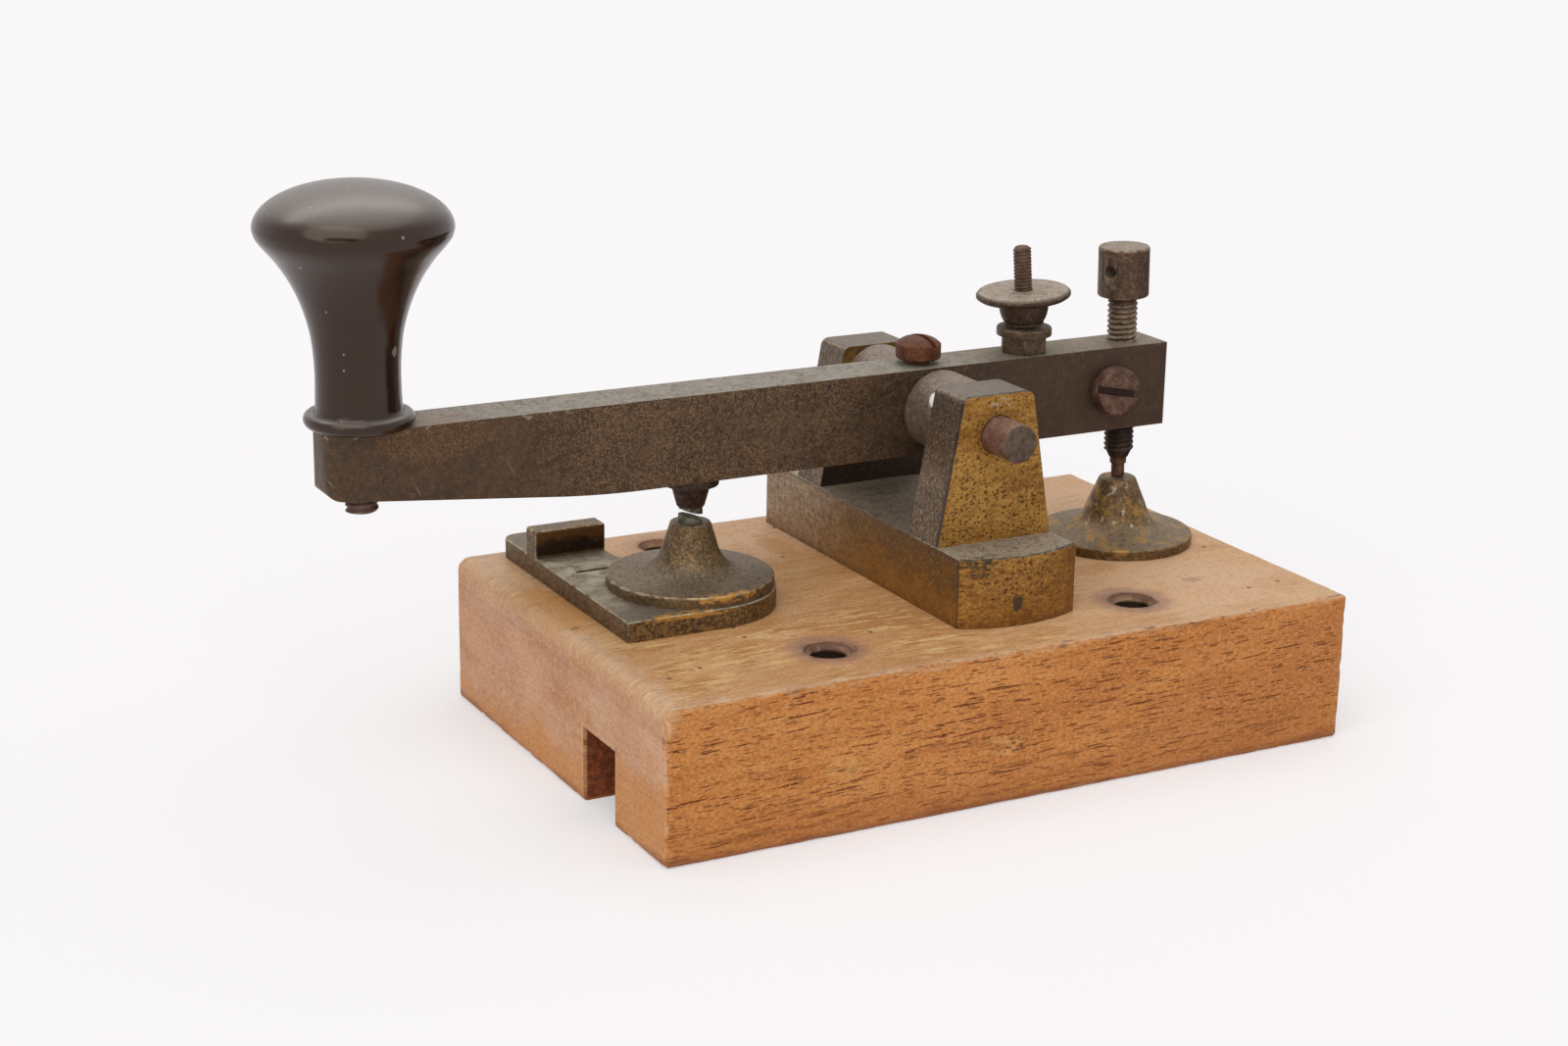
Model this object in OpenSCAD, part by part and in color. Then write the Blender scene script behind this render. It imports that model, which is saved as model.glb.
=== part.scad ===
// Telegraph key: a brass lever on a two-post bridge, on a wooden base.
// X runs along the lever with the knob at -X, Y across it, Z up. The origin lies on the underside of the base,
// in the middle of the four mounting holes, below the lever's centre line. Millimetres.

/* [Base] */
// Length of the wooden base along the lever
base_l = 110; // [100:1:130]
// Width of the base across the lever
base_w = 72; // [70:0.5:84]
// Thickness of the base
base_t = 22; // [20:0.5:28]
// How far the block sits to the near side of the lever's centre line
base_shift = 1.9; // [0:0.1:3]
// Radius of the base's upright edges
base_corner_r = 1; // [0.5:0.1:4]

/* [Mounting holes] */
// Distance between the mounting holes along the lever
mount_x = 50; // [46:0.5:54]
// Distance between the mounting holes across the lever
mount_y = 52.5; // [51.5:0.5:56]
// Diameter of a mounting hole
mount_d = 5.2; // [3:0.1:6]
// Diameter of its countersink at the top
mount_sink_d = 7.2; // [6.8:0.1:10]

/* [Wiring groove] */
// Width of the groove under the base
groove_w = 10.4; // [9.8:0.1:11]
// Depth of the groove, the channels and the wells under the base
groove_h = 11; // [9:0.5:13]
// Distance of the groove from the centre line, to the near side
groove_y = 17.1; // [16:0.1:18]
// Length of the groove from the front end of the base
groove_l = 100; // [99:0.5:104]
// Width of the channels from the groove to the wells
channel_w = 8; // [5:0.5:10]
// Diameter of the round well round each hidden fastener
well_d = 14.5; // [13:0.5:18]

/* [Bridge] */
// Width of the bridge's foot along the lever
bar_w = 19.3; // [19.2:0.1:22]
// Length of the foot between its corners
bar_l = 57; // [54:0.2:58.4]
// How far each rounded end of the foot bulges past its corners
bar_nose = 2.3; // [1:0.1:3.2]
// Height of the foot
bar_h = 10; // [9:0.1:12]
// How far the bridge sits to the far side of the lever's centre line
bridge_shift = 0.9; // [0:0.1:1.5]
// How much farther to the far side the foot sits than the posts
foot_shift = 1.1; // [0:0.1:1.3]
// Clear width between the two posts
post_gap = 26.2; // [22:0.2:28]
// Thickness of the near post
post_t = 8; // [6:0.1:8.6]
// Thickness of the far post
far_post_t = 7; // [5:0.1:8.6]
// Width of a post at the foot
post_w = 18.6; // [16:0.1:19]
// Width of a post at its top
post_top_w = 11.2; // [10:0.1:14]
// Height of a post above the foot
post_h = 21.2; // [20:0.1:26]
// Radius of the post's top corners
post_r = 1.2; // [0.5:0.1:2]

/* [Pivot] */
// Place of the pivot along the base
pivot_x = 5; // [3:0.1:6]
// Height of the pivot's axis above the foot
pivot_h = 15.4; // [14:0.1:16.5]
// Diameter of the pivot pin
pin_d = 5.6; // [4:0.1:6.4]
// How far the pin stands out of each post
pin_out = 5.7; // [2:0.1:8]
// Diameter of the collars beside the lever
collar_d = 11.6; // [9:0.1:12.4]

/* [Lever] */
// Width of the lever
lever_w = 8; // [7:0.1:10]
// Depth of the lever
lever_h = 12.7; // [11.5:0.1:14]
// Height of the lever's top above the pivot's axis
lever_rise = 6.1; // [5.5:0.1:7]
// Length of the lever past the knob's axis, to its front end
front_over = 5.8; // [4:0.1:10]
// Length of the lever past the stop screw, to its tail
tail_over = 5; // [4:0.1:8]
// Depth of the lever at its front end
front_h = 8.9; // [7.5:0.1:11]
// Distance from the pivot to the bend where the underside starts to rise
taper_arm = 53.5; // [48:0.5:60]
// Radius of the lower front corner
front_r = 1.8; // [1:0.1:3]
// Radius of the front end's upright edges
front_edge_r = 3; // [0.5:0.1:3.2]

/* [Front contact] */
// Distance from the pivot to the front contact
contact_arm = 38; // [36:0.1:40]
// Gap between the open contact points
contact_gap = 0.55; // [0.4:0.05:1]
// Slant of the worn contact faces, degrees
wear_slant = 17; // [0:1:20]
// Distance from the lever's underside to the worn face
lever_contact_h = 5.2; // [4.4:0.1:6.5]
// Diameter of the lever contact's flange
lever_flange_d = 8; // [6.5:0.1:9]
// Thickness of that flange
lever_flange_t = 1.1; // [0.8:0.1:1.6]
// Diameter of the front anvil's disc
front_disc_d = 24; // [20:0.1:25]
// Thickness of its rim
front_rim_t = 1.6; // [1:0.1:2.2]
// Diameter of the front anvil's top
front_top_d = 5.7; // [5:0.1:7]
// Diameter of the contact points
point_d = 3.4; // [2.4:0.1:4]
// How far a contact point stands out at its middle
point_out = 0.85; // [0.7:0.05:1.2]

/* [Front plate] */
// Thickness of the front contact's plate
plate_t = 3; // [2:0.1:4]
// Distance from the contact's axis forward to the plate's front edge
plate_lead = 15.5; // [14:0.1:17]
// Width of the plate's strip
strip_w = 11.2; // [9.5:0.1:12.5]
// Reach of the strip to the far side
plate_reach = 32.7; // [29:0.1:33.5]
// Radius of the round pad below the anvil
pad_r = 12.3; // [11.5:0.1:13.5]
// Distance of the rib from the centre line
rib_y = 19.4; // [17.5:0.1:21]
// Thickness of the rib
rib_t = 3.6; // [2:0.1:5]
// Height of the rib above the plate
rib_h = 4.1; // [2:0.1:6]
// Distance of the plate screw from the centre line
plate_screw_y = 11.3; // [9.5:0.1:13]
// Diameter of the plate screw's head
plate_screw_d = 6.4; // [5:0.1:7]

/* [Rear contact] */
// Distance from the pivot to the stop screw
stop_arm = 35.1; // [33:0.1:37]
// Distance from the lever's underside to the tip of the stop screw
stop_reach = 8.7; // [7.5:0.1:9.5]
// Lean of the stop screw towards the knob, degrees
stop_lean = 1.5; // [0:0.1:2]
// Diameter of the stop screw's thread
stop_d = 4.5; // [3.8:0.1:4.8]
// Height of the thread above the lever
stop_rise = 6.9; // [4:0.1:9]
// Diameter of the stop screw's barrel head
stop_head_d = 7.7; // [6.5:0.1:9]
// Height of that head
stop_head_h = 7.6; // [6:0.1:10]
// Diameter of the cross hole in the head
tommy_d = 2; // [1.5:0.1:2.6]
// Diameter of the stop screw's contact tip
stop_tip_d = 2; // [1.4:0.1:2.4]
// Diameter of the rear anvil's disc
rear_disc_d = 23.6; // [18:0.1:25]
// Thickness of its rim
rear_rim_t = 1.6; // [0.8:0.1:2]
// Diameter of the rear anvil's top
rear_top_d = 5.5; // [4.8:0.1:6.5]
// Distance of the lock screw forward of the stop screw
lock_lead = 4.8; // [4.7:0.1:6]
// Diameter of the lock screw's thread
lock_d = 3.4; // [2.6:0.1:3.6]
// Diameter of the lock screw's head
lock_head_d = 7.3; // [6:0.1:9]
// Thickness of that head
lock_head_t = 2.4; // [1.5:0.1:3]

/* [Tension spring] */
// Distance of the tension post forward of the stop screw
tension_lead = 15.4; // [14.6:0.1:16]
// Lean of the tension rod towards the knob, degrees
rod_lean = 4.6; // [3:0.1:5]
// Diameter of the rod's thread
rod_d = 2.7; // [2.2:0.1:3]
// Height of the rod's top above the lever
rod_rise = 15.8; // [11:0.1:20]
// Reach of the rod below the lever
rod_drop = 7; // [5:0.1:8]
// Diameter of the plugs that hold the spring's ends
plug_d = 2.2; // [1.8:0.1:2.2]
// Diameter of the spring's wire
wire_d = 0.55; // [0.4:0.05:0.6]
// Rise of one turn of the spring
wire_pitch = 1.15; // [1.05:0.05:1.4]
// Width of the hexagon collar across its flats
hex_w = 6.4; // [5.8:0.1:7.5]
// Height of the hexagon
hex_h = 2.5; // [1.5:0.1:4]
// Diameter of the ring on the hexagon
ring_d = 8.2; // [7.5:0.1:9]
// Thickness of that ring
ring_t = 1.3; // [0.8:0.1:2]
// Diameter of the thumb nut's disc
thumb_d = 14; // [11:0.1:18]
// Thickness of that disc
thumb_t = 1.3; // [0.8:0.1:2]
// Height of the bell below the disc
bell_h = 3.8; // [2.5:0.1:5]

/* [Knob] */
// Distance from the pivot to the knob's axis
knob_arm = 86.5; // [80:0.1:95]
// Height of the knob
knob_h = 32.3; // [28:0.1:38]
// Diameter of the knob's head
knob_d = 26; // [22:0.1:32]
// Height of the widest part of the head above the lever
knob_wide_h = 26.3; // [22:0.1:27]
// Diameter of the waist
waist_d = 11.1; // [9:0.1:13]
// Diameter of the bead at the foot
bead_d = 15; // [13.8:0.1:18]
// Height of the bead
bead_h = 2; // [1.6:0.1:3]
// Diameter of the knob screw
knob_screw_d = 4.4; // [3:0.1:5]
// How far the knob screw stands out below the lever
knob_screw_out = 2.3; // [1:0.1:5]

/* [Fasteners] */
// Diameter of the studs and bolts that go through the base
stud_d = 4; // [3:0.1:4.4]
// Width of the hidden nuts across their flats
nut_w = 7.6; // [7:0.1:8.5]
// Thickness of the nuts
nut_t = 3; // [2:0.1:4]
// Diameter of the washers
washer_d = 9.2; // [8.6:0.1:9.6]
// Thickness of the washers
washer_t = 1; // [0.6:0.1:1.5]
// Diameter of the bridge bolts' heads
bolt_head_d = 7.4; // [6.5:0.1:8.4]
// Thickness of those heads
bolt_head_t = 2.6; // [2:0.1:3.2]
// Diameter of the set screw's head on the lever
set_head_d = 6.6; // [5:0.1:7.8]
// Distance of the set screw forward of the pivot's axis
set_lead = 1.3; // [0:0.1:1.6]
// Thickness of that head at its edge
set_head_t = 2.1; // [1.5:0.1:3]

/* [Fits] */
// Radial clearance of the pin in the posts
running_fit = 0.04; // [0.02:0.01:0.08]
// Radial clearance of a screw or pin in its own hole
screw_fit = 0.05; // [0.02:0.01:0.1]
// Radial clearance of a bolt in the wood
wood_fit = 0.2; // [0.1:0.05:0.4]
// Play between the collars and the posts
side_play = 0.1; // [0.05:0.01:0.2]
// Gap between the stop's tip and the rear anvil at rest
rest_gap = 0.04; // [0.02:0.01:0.1]

/* [Hidden] */
$fn = 64;
past = 1;
bar_top = base_t + bar_h;
pivot_z = bar_top + pivot_h;
lever_top = pivot_z + lever_rise;
lever_low = lever_top - lever_h;
knob_x = pivot_x - knob_arm;
stop_x = pivot_x + stop_arm;
lever_x0 = knob_x - front_over;
lever_x1 = stop_x + tail_over;
plate_top = base_t + plate_t;
groove_edge = base_w / 2 + base_shift;

// Front contact: both worn faces lie on parallel slanted planes
contact_x = pivot_x - contact_arm;
lever_face_z = lever_low - lever_contact_h;
anvil_face_z = lever_face_z - contact_gap;
front_anvil_h = anvil_face_z - point_out - plate_top;
point_depth = 2;
point_core_d = 1.6;
contact_shank_d = 3.8;
contact_shank_h = 6;
contact_root_d = 5.6;
contact_nose_d = 3.9;

// Front plate
plate_x0 = contact_x - plate_lead;
plate_screw_x = plate_x0 + strip_w / 2;
plate_end_r = 2.4;
plate_fillet_r = 5;
wood_screw_d = 3.2;
wood_screw_l = 13;
slot_w = 0.9;
slot_h = 1;

// Anvils: the flare runs from the disc's top to the straight cone
flare_rise = 0.6;
flare_pull = 0.7;
front_flare_d = 15.2;
front_neck_d = 7.5;
front_flare_h = 4.7;
rear_flare_d = 17;
rear_neck_d = 9;
rear_flare_h = 4.2;
curve_steps = 8;

// Rear contact
stop_tip_z = lever_low - stop_reach;
rear_anvil_h = stop_tip_z - stop_tip_d / 2 * sin(stop_lean) - rest_gap - base_t;
stop_nose_h = 3.2;
stop_taper_h = 1.3;
stop_shoulder_h = 1;
stop_head_z = (lever_top + stop_rise - stop_tip_z) / cos(stop_lean);
stop_nose_d = 2.9;
stop_neck_h = 0.7;
stop_core_d = 1.3;
stop_core_h = 4;
tommy_turn = 67;
lock_x = stop_x - lock_lead;
lock_z = lever_low + lever_h / 2;
lock_l = lever_w * 0.85;
lock_slot_w = 1.1;
lock_slot_h = 1.1;

// Hidden fasteners
stud_end = 1.6;
washer_z = groove_h - washer_t;
bolt_y = groove_y;
bolt_grip = bar_h - 2;

// Tension set: everything on the leaning axis is measured from the base's top
tension_x = stop_x - tension_lead;
lean_z = 1 / cos(rod_lean);
rod_low = (lever_low - rod_drop - base_t) * lean_z;
rod_high = (lever_top + rod_rise - base_t) * lean_z;
collar_lead = 0.3;
collar_x = tension_x - (lever_top - base_t) * tan(rod_lean) - collar_lead;
lever_sway = lever_h * tan(rod_lean) / 2;
lever_rod_x = tension_x - (lever_low + lever_h / 2 - base_t) * tan(rod_lean);
rod_hole_d = rod_d + 2 * (lever_sway + 3 * screw_fit);
ring_top = lever_top + hex_h + ring_t;
ring_bore_d = rod_d + 2 * ((hex_h + ring_t) * tan(rod_lean) + 3 * screw_fit) + 0.2;
bell_foot_d = 5.8;
bell_top_d = 7.4;
seat_z = (ring_top - base_t) * lean_z + bell_foot_d / 2 * tan(rod_lean) + 3 * screw_fit;
plug_h = 4;
post_depth = 9;
post_d = 3;
post_bare = 1;
coil_fit = 0.25;
coil_r = plug_d / 2 + coil_fit + wire_d / 2;
coil_low = post_bare + wire_d;
coil_high = rod_low + plug_h - wire_d;
coil_turns = floor((coil_high - coil_low) / wire_pitch * 8) / 8;
coil_rings = 8;
coil_sides = 6;

// Set screw that clamps the pin in the lever
set_d = 3.4;
set_x = pivot_x - set_lead;
set_lift = 0.8;
set_dome = 1.25;
set_slot_turn = 106;

// Knob
bead_cove = 1.1;
knob_bore_h = 14;
taper_x = pivot_x - taper_arm;
taper_blend = 7;
taper_slope = (lever_h - front_h) / (taper_x - lever_x0);
knob_low = lever_low + (taper_x - knob_x) * taper_slope;

// Points of an arc round a centre, from one angle to another
function arc(centre, r, from, to, steps = curve_steps) =
    [for (i = [0 : steps]) let (a = from + (to - from) * i / steps) centre + r * [cos(a), sin(a)]];

// Points of a curve drawn by two ends and the corner between them
function bend(p, corner, q, steps = curve_steps) =
    [for (i = [0 : steps]) let (t = i / steps)
        (1 - t) * (1 - t) * p + 2 * t * (1 - t) * corner + t * t * q];

// Extrudes an outline drawn in X and Z across the lever, about the centre line
module across(width) {
    translate([0, width / 2, 0])
        rotate([90, 0, 0])
            linear_extrude(width)
                children();
}

// Puts children on the leaning axis of the stop screw, with its Z up from the tip
module on_stop_axis() {
    translate([stop_x, 0, stop_tip_z])
        rotate([0, -stop_lean, 0])
            children();
}

// Puts children on the leaning axis of the tension rod, with its Z along the rod
module on_tension_axis() {
    translate([tension_x, 0, base_t])
        rotate([0, -rod_lean, 0])
            children();
}

module rounded_block_outline(size, r) {
    translate([-size.x / 2 + r, -size.y / 2])
        square([size.x - 2 * r, size.y]);
    translate([-size.x / 2, -size.y / 2 + r])
        square([size.x, size.y - 2 * r]);
    for (x = [-1, 1], y = [-1, 1])
        translate([x * (size.x / 2 - r), y * (size.y / 2 - r)])
            circle(r);
}

// Everything below one slanted plane through a height on the front contact's axis is kept
module below_slant(z) {
    reach = 2 * point_d;
    difference() {
        children();
        translate([contact_x, 0, z])
            rotate([0, wear_slant, 0])
                translate([-reach, -reach, 0])
                    cube(2 * reach);
    }
}

module above_slant(z) {
    reach = 3 * point_d;
    difference() {
        children();
        translate([contact_x, 0, z])
            rotate([0, wear_slant, 0])
                translate([-reach, -reach, -2 * reach])
                    cube(2 * reach);
    }
}

// A turned contact seat: a thin disc that flares up into a cone, with a stud below for its nut
module anvil(disc_d, rim_t, flare_d, neck_d, flare_h, top_d, top_h, stud_l) {
    flare_z = rim_t + flare_rise;
    neck_z = rim_t + flare_h;
    difference() {
        rotate_extrude()
            polygon(concat(
                [[0, -stud_l], [stud_d / 2, -stud_l], [stud_d / 2, 0], [disc_d / 2, 0], [disc_d / 2, rim_t]],
                bend([flare_d / 2, flare_z], [neck_d / 2 + flare_pull, flare_z + flare_pull], [neck_d / 2, neck_z]),
                [[top_d / 2, top_h], [0, top_h]]));
        translate([0, 0, top_h - point_depth])
            cylinder(d = point_core_d + 2 * screw_fit, h = point_depth + past);
    }
}

module hexagon_nut(width, height, bore_d) {
    difference() {
        cylinder(d = width / cos(30), h = height, $fn = 6);
        translate([0, 0, -past])
            cylinder(d = bore_d, h = height + 2 * past);
    }
}

module washer(bore_d) {
    difference() {
        cylinder(d = washer_d, h = washer_t);
        translate([0, 0, -past])
            cylinder(d = bore_d, h = washer_t + 2 * past);
    }
}

module base() color("peru")
    difference() {
        translate([0, -base_shift, 0])
            linear_extrude(base_t)
                rounded_block_outline([base_l, base_w], base_corner_r);
        mounting_holes();
        wiring_space();
        for (x = [contact_x, stop_x])
            wood_hole(x, 0);
        for (y = [-bolt_y, bolt_y])
            wood_hole(pivot_x, y);
        translate([plate_screw_x, plate_screw_y, base_t - wood_screw_l])
            cylinder(d = wood_screw_d + 2 * screw_fit, h = wood_screw_l + past);
        on_tension_axis()
            translate([0, 0, -post_depth])
                cylinder(d = post_d + 2 * screw_fit, h = post_depth + past);
    }

module mounting_holes() {
    sink_h = (mount_sink_d - mount_d) / 2;
    for (x = [-1, 1], y = [-1, 1])
        translate([x * mount_x / 2, y * mount_y / 2, 0]) {
            translate([0, 0, -past])
                cylinder(d = mount_d, h = base_t + 2 * past);
            translate([0, 0, base_t - sink_h])
                cylinder(d1 = mount_d, d2 = mount_sink_d + 2 * past, h = sink_h + past);
        }
}

// The groove for the wires comes in at the front end, and short channels lead from it to the wells
module wiring_space() {
    translate([-base_l / 2 - past, -groove_y - groove_w / 2, -past])
        cube([groove_l + past, groove_w, groove_h + past]);
    for (x = [contact_x, stop_x]) {
        translate([x - channel_w / 2, -groove_y, -past])
            cube([channel_w, groove_y, groove_h + past]);
        well(x, 0);
    }
    well(pivot_x, bolt_y);
}

module well(x, y) {
    translate([x, y, -past])
        cylinder(d = well_d, h = groove_h + past);
}

module wood_hole(x, y) {
    translate([x, y, groove_h - past])
        cylinder(d = stud_d + 2 * wood_fit, h = base_t - groove_h + 2 * past);
}

module plate_outline() {
    strip_x1 = plate_x0 + strip_w;
    translate([plate_x0, -pad_r])
        square([strip_w, pad_r + plate_reach - plate_end_r]);
    translate([plate_x0 + plate_end_r, -pad_r])
        square([strip_w - 2 * plate_end_r, pad_r + plate_reach]);
    for (x = [plate_x0 + plate_end_r, strip_x1 - plate_end_r])
        translate([x, plate_reach - plate_end_r])
            circle(plate_end_r);
    translate([plate_x0, -pad_r])
        square([contact_x - plate_x0, pad_r]);
    translate([contact_x, 0])
        circle(pad_r);
    plate_fillet(strip_x1);
}

// The hollow corner where the strip runs into the round pad
module plate_fillet(strip_x1) {
    dx = strip_x1 + plate_fillet_r - contact_x;
    dy = sqrt(pow(pad_r + plate_fillet_r, 2) - dx * dx);
    touch = [contact_x, 0] + pad_r / (pad_r + plate_fillet_r) * [dx, dy];
    difference() {
        polygon([[contact_x, 0], [strip_x1 - past, 0], [strip_x1 - past, dy], [strip_x1, dy], touch]);
        translate([contact_x + dx, dy])
            circle(plate_fillet_r);
    }
}

module front_plate() color("darkolivegreen")
    difference() {
        union() {
            translate([0, 0, base_t])
                linear_extrude(plate_t)
                    plate_outline();
            translate([plate_x0, rib_y, base_t])
                cube([strip_w, rib_t, plate_t + rib_h]);
        }
        translate([contact_x, 0, base_t - past])
            cylinder(d = stud_d + 2 * screw_fit, h = plate_t + 2 * past);
        translate([plate_screw_x, plate_screw_y, base_t])
            countersink(screw_fit);
    }

// The flush head of the plate screw, or the seat for it where a clearance is given
module countersink(fit) {
    neck_z = plate_t - (plate_screw_d - wood_screw_d) / 2;
    translate([0, 0, -past])
        cylinder(d = wood_screw_d + 2 * fit, h = neck_z + 2 * past);
    translate([0, 0, neck_z])
        cylinder(d1 = wood_screw_d + 2 * fit, d2 = plate_screw_d + 2 * fit, h = plate_t - neck_z);
}

module plate_screw() color("rosybrown")
    translate([plate_screw_x, plate_screw_y, base_t])
        difference() {
            union() {
                countersink(0);
                translate([0, 0, 1 - wood_screw_l])
                    cylinder(d = wood_screw_d, h = wood_screw_l);
            }
            translate([-plate_screw_d, -slot_w / 2, plate_t - slot_h])
                cube([2 * plate_screw_d, slot_w, slot_h + past]);
        }

module front_anvil() color("darkkhaki")
    translate([contact_x, 0, plate_top])
        anvil(front_disc_d, front_rim_t, front_flare_d, front_neck_d, front_flare_h, front_top_d,
              front_anvil_h, plate_top - stud_end);

module front_anvil_point() color("dimgray")
    below_slant(anvil_face_z)
        translate([contact_x, 0, plate_top + front_anvil_h]) {
            cylinder(d = point_d, h = 2 * point_out);
            translate([0, 0, screw_fit - point_depth])
                cylinder(d = point_core_d, h = point_depth);
        }

module rear_anvil() color("darkgoldenrod")
    translate([stop_x, 0, base_t])
        anvil(rear_disc_d, rear_rim_t, rear_flare_d, rear_neck_d, rear_flare_h, rear_top_d,
              rear_anvil_h, base_t - stud_end);

// A pin of contact metal let in flush with the top of the rear anvil
module rear_anvil_point() color("gray")
    translate([stop_x, 0, base_t + rear_anvil_h - point_depth + screw_fit])
        cylinder(d = point_core_d, h = point_depth - screw_fit);

module contact_washers() color("tan")
    for (x = [contact_x, stop_x])
        translate([x, 0, washer_z])
            washer(stud_d + 2 * screw_fit);

module contact_nuts() color("goldenrod")
    for (x = [contact_x, stop_x])
        translate([x, 0, washer_z - nut_t])
            hexagon_nut(nut_w, nut_t, stud_d + 2 * screw_fit);

module foot_outline() {
    nose_r = (bar_w * bar_w / 4 + bar_nose * bar_nose) / (2 * bar_nose);
    translate([pivot_x - bar_w / 2, -bar_l / 2])
        square([bar_w, bar_l]);
    for (side = [-1, 1])
        intersection() {
            translate([pivot_x, side * (bar_l / 2 + bar_nose - nose_r)])
                circle(nose_r, $fn = 128);
            translate([pivot_x - bar_w / 2, side > 0 ? 0 : -bar_l])
                square([bar_w, bar_l]);
        }
}

module post_outline() {
    lean = atan((post_w - post_top_w) / 2 / post_h);
    corner = [post_top_w / 2 - post_r * (1 / cos(lean) - tan(lean)), post_h - post_r];
    half = concat([[post_w / 2, -past], [post_w / 2, 0]], arc(corner, post_r, lean, 90));
    translate([pivot_x, bar_top])
        polygon(concat(half, [for (i = [len(half) - 1 : -1 : 0]) [-half[i].x, half[i].y]]));
}

module bridge() color("goldenrod")
    difference() {
        union() {
            translate([0, bridge_shift + foot_shift, base_t])
                linear_extrude(bar_h)
                    foot_outline();
            for (side = [-1, 1])
                let (thick = side < 0 ? post_t : far_post_t)
                    translate([0, bridge_shift + side * (post_gap + thick) / 2, 0])
                        across(thick)
                            post_outline();
        }
        translate([pivot_x, 0, pivot_z])
            rotate([90, 0, 0])
                cylinder(d = pin_d + 2 * running_fit, h = 2 * bar_l, center = true);
        for (y = [-bolt_y, bolt_y])
            translate([pivot_x, y, base_t - past])
                cylinder(d = stud_d + 2 * screw_fit, h = bolt_grip + past + screw_fit);
    }

module bridge_washers() color("tan")
    for (y = [-bolt_y, bolt_y])
        translate([pivot_x, y, washer_z])
            washer(stud_d + 2 * screw_fit);

module bridge_bolts() color("sienna")
    for (y = [-bolt_y, bolt_y])
        translate([pivot_x, y, washer_z])
            difference() {
                union() {
                    cylinder(d = stud_d, h = base_t + bolt_grip - washer_z);
                    translate([0, 0, -bolt_head_t])
                        cylinder(d = bolt_head_d, h = bolt_head_t);
                }
                translate([-bolt_head_d, -slot_w / 2, -bolt_head_t - past])
                    cube([2 * bolt_head_d, slot_w, slot_h + past]);
            }

module pivot_pin() color("rosybrown")
    translate([pivot_x, bridge_shift + (far_post_t - post_t) / 2, pivot_z])
        rotate([90, 0, 0])
            cylinder(d = pin_d, h = post_gap + post_t + far_post_t + 2 * pin_out, center = true);

module pivot_collars() color("dimgray")
    for (side = [-1, 1]) {
        length = post_gap / 2 + side * bridge_shift - lever_w / 2 - side_play;
        translate([pivot_x, side * (lever_w + length) / 2, pivot_z])
            rotate([90, 0, 0])
                difference() {
                    cylinder(d = collar_d, h = length, center = true);
                    cylinder(d = pin_d + 2 * screw_fit, h = post_gap, center = true);
                }
    }

// Side view of the lever: straight behind the bend, rising to the front
module lever_outline() {
    bend_end = [taper_x - taper_blend, lever_low + taper_blend * taper_slope];
    rise = atan(taper_slope);
    front_low = lever_low + (taper_x - lever_x0) * taper_slope;
    corner = [lever_x0 + front_r, front_low + front_r / cos(rise) - front_r * taper_slope];
    polygon(concat(
        [[lever_x1, lever_top], [lever_x1, lever_low]],
        bend([taper_x + taper_blend, lever_low], [taper_x, lever_low], bend_end),
        arc(corner, front_r, -90 - rise, -180),
        [[lever_x0, lever_top]]));
}

// Plan of the lever, with its front corners rounded
module lever_plan() {
    translate([lever_x0 + front_edge_r, -lever_w / 2])
        square([lever_x1 - lever_x0 - front_edge_r, lever_w]);
    translate([lever_x0, -lever_w / 2 + front_edge_r])
        square([lever_w, lever_w - 2 * front_edge_r]);
    for (side = [-1, 1])
        translate([lever_x0 + front_edge_r, side * (lever_w / 2 - front_edge_r)])
            circle(front_edge_r);
}

module lever() color("saddlebrown")
    difference() {
        intersection() {
            across(lever_w)
                lever_outline();
            translate([0, 0, lever_low - past])
                linear_extrude(lever_h + 2 * past)
                    lever_plan();
        }
        translate([pivot_x, 0, pivot_z])
            rotate([90, 0, 0])
                cylinder(d = pin_d + 2 * screw_fit, h = lever_w + 2 * past, center = true);
        upright_hole(set_x, set_d, pivot_z, lever_top);
        upright_hole(knob_x, knob_screw_d, lever_low, lever_top);
        upright_hole(contact_x, contact_shank_d, lever_low - past, lever_low + contact_shank_h);
        on_stop_axis()
            cylinder(d = stop_d + 2 * screw_fit, h = 2 * stop_reach + lever_h);
        upright_hole(lever_rod_x, rod_hole_d, lever_low, lever_top);
        translate([lock_x, -lever_w / 2 - past, lock_z])
            rotate([-90, 0, 0])
                cylinder(d = lock_d + 2 * screw_fit, h = lock_l + past + screw_fit);
    }

module upright_hole(x, d, from, to) {
    translate([x, 0, from - (from == lever_low ? past : 0)])
        cylinder(d = d + 2 * screw_fit, h = to - from + (from == lever_low ? past : 0) + past * 2);
}

module set_screw() color("firebrick")
    translate([set_x, 0, lever_top + set_lift])
        difference() {
            union() {
                rotate_extrude()
                    polygon(concat(
                        [[0, 0], [set_head_d / 2, 0]],
                        bend([set_head_d / 2, set_head_t], [set_head_d / 4, set_head_t + set_dome],
                             [0, set_head_t + set_dome])));
                shank_l = lever_top + set_lift - pivot_z - pin_d / 2 - screw_fit;
                translate([0, 0, -shank_l])
                    cylinder(d = set_d, h = shank_l + screw_fit);
            }
            rotate([0, 0, set_slot_turn])
                translate([-set_head_d, -slot_w / 2, set_head_t + set_dome - slot_h - set_dome / 2])
                    cube([2 * set_head_d, slot_w, slot_h + set_dome]);
        }

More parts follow.
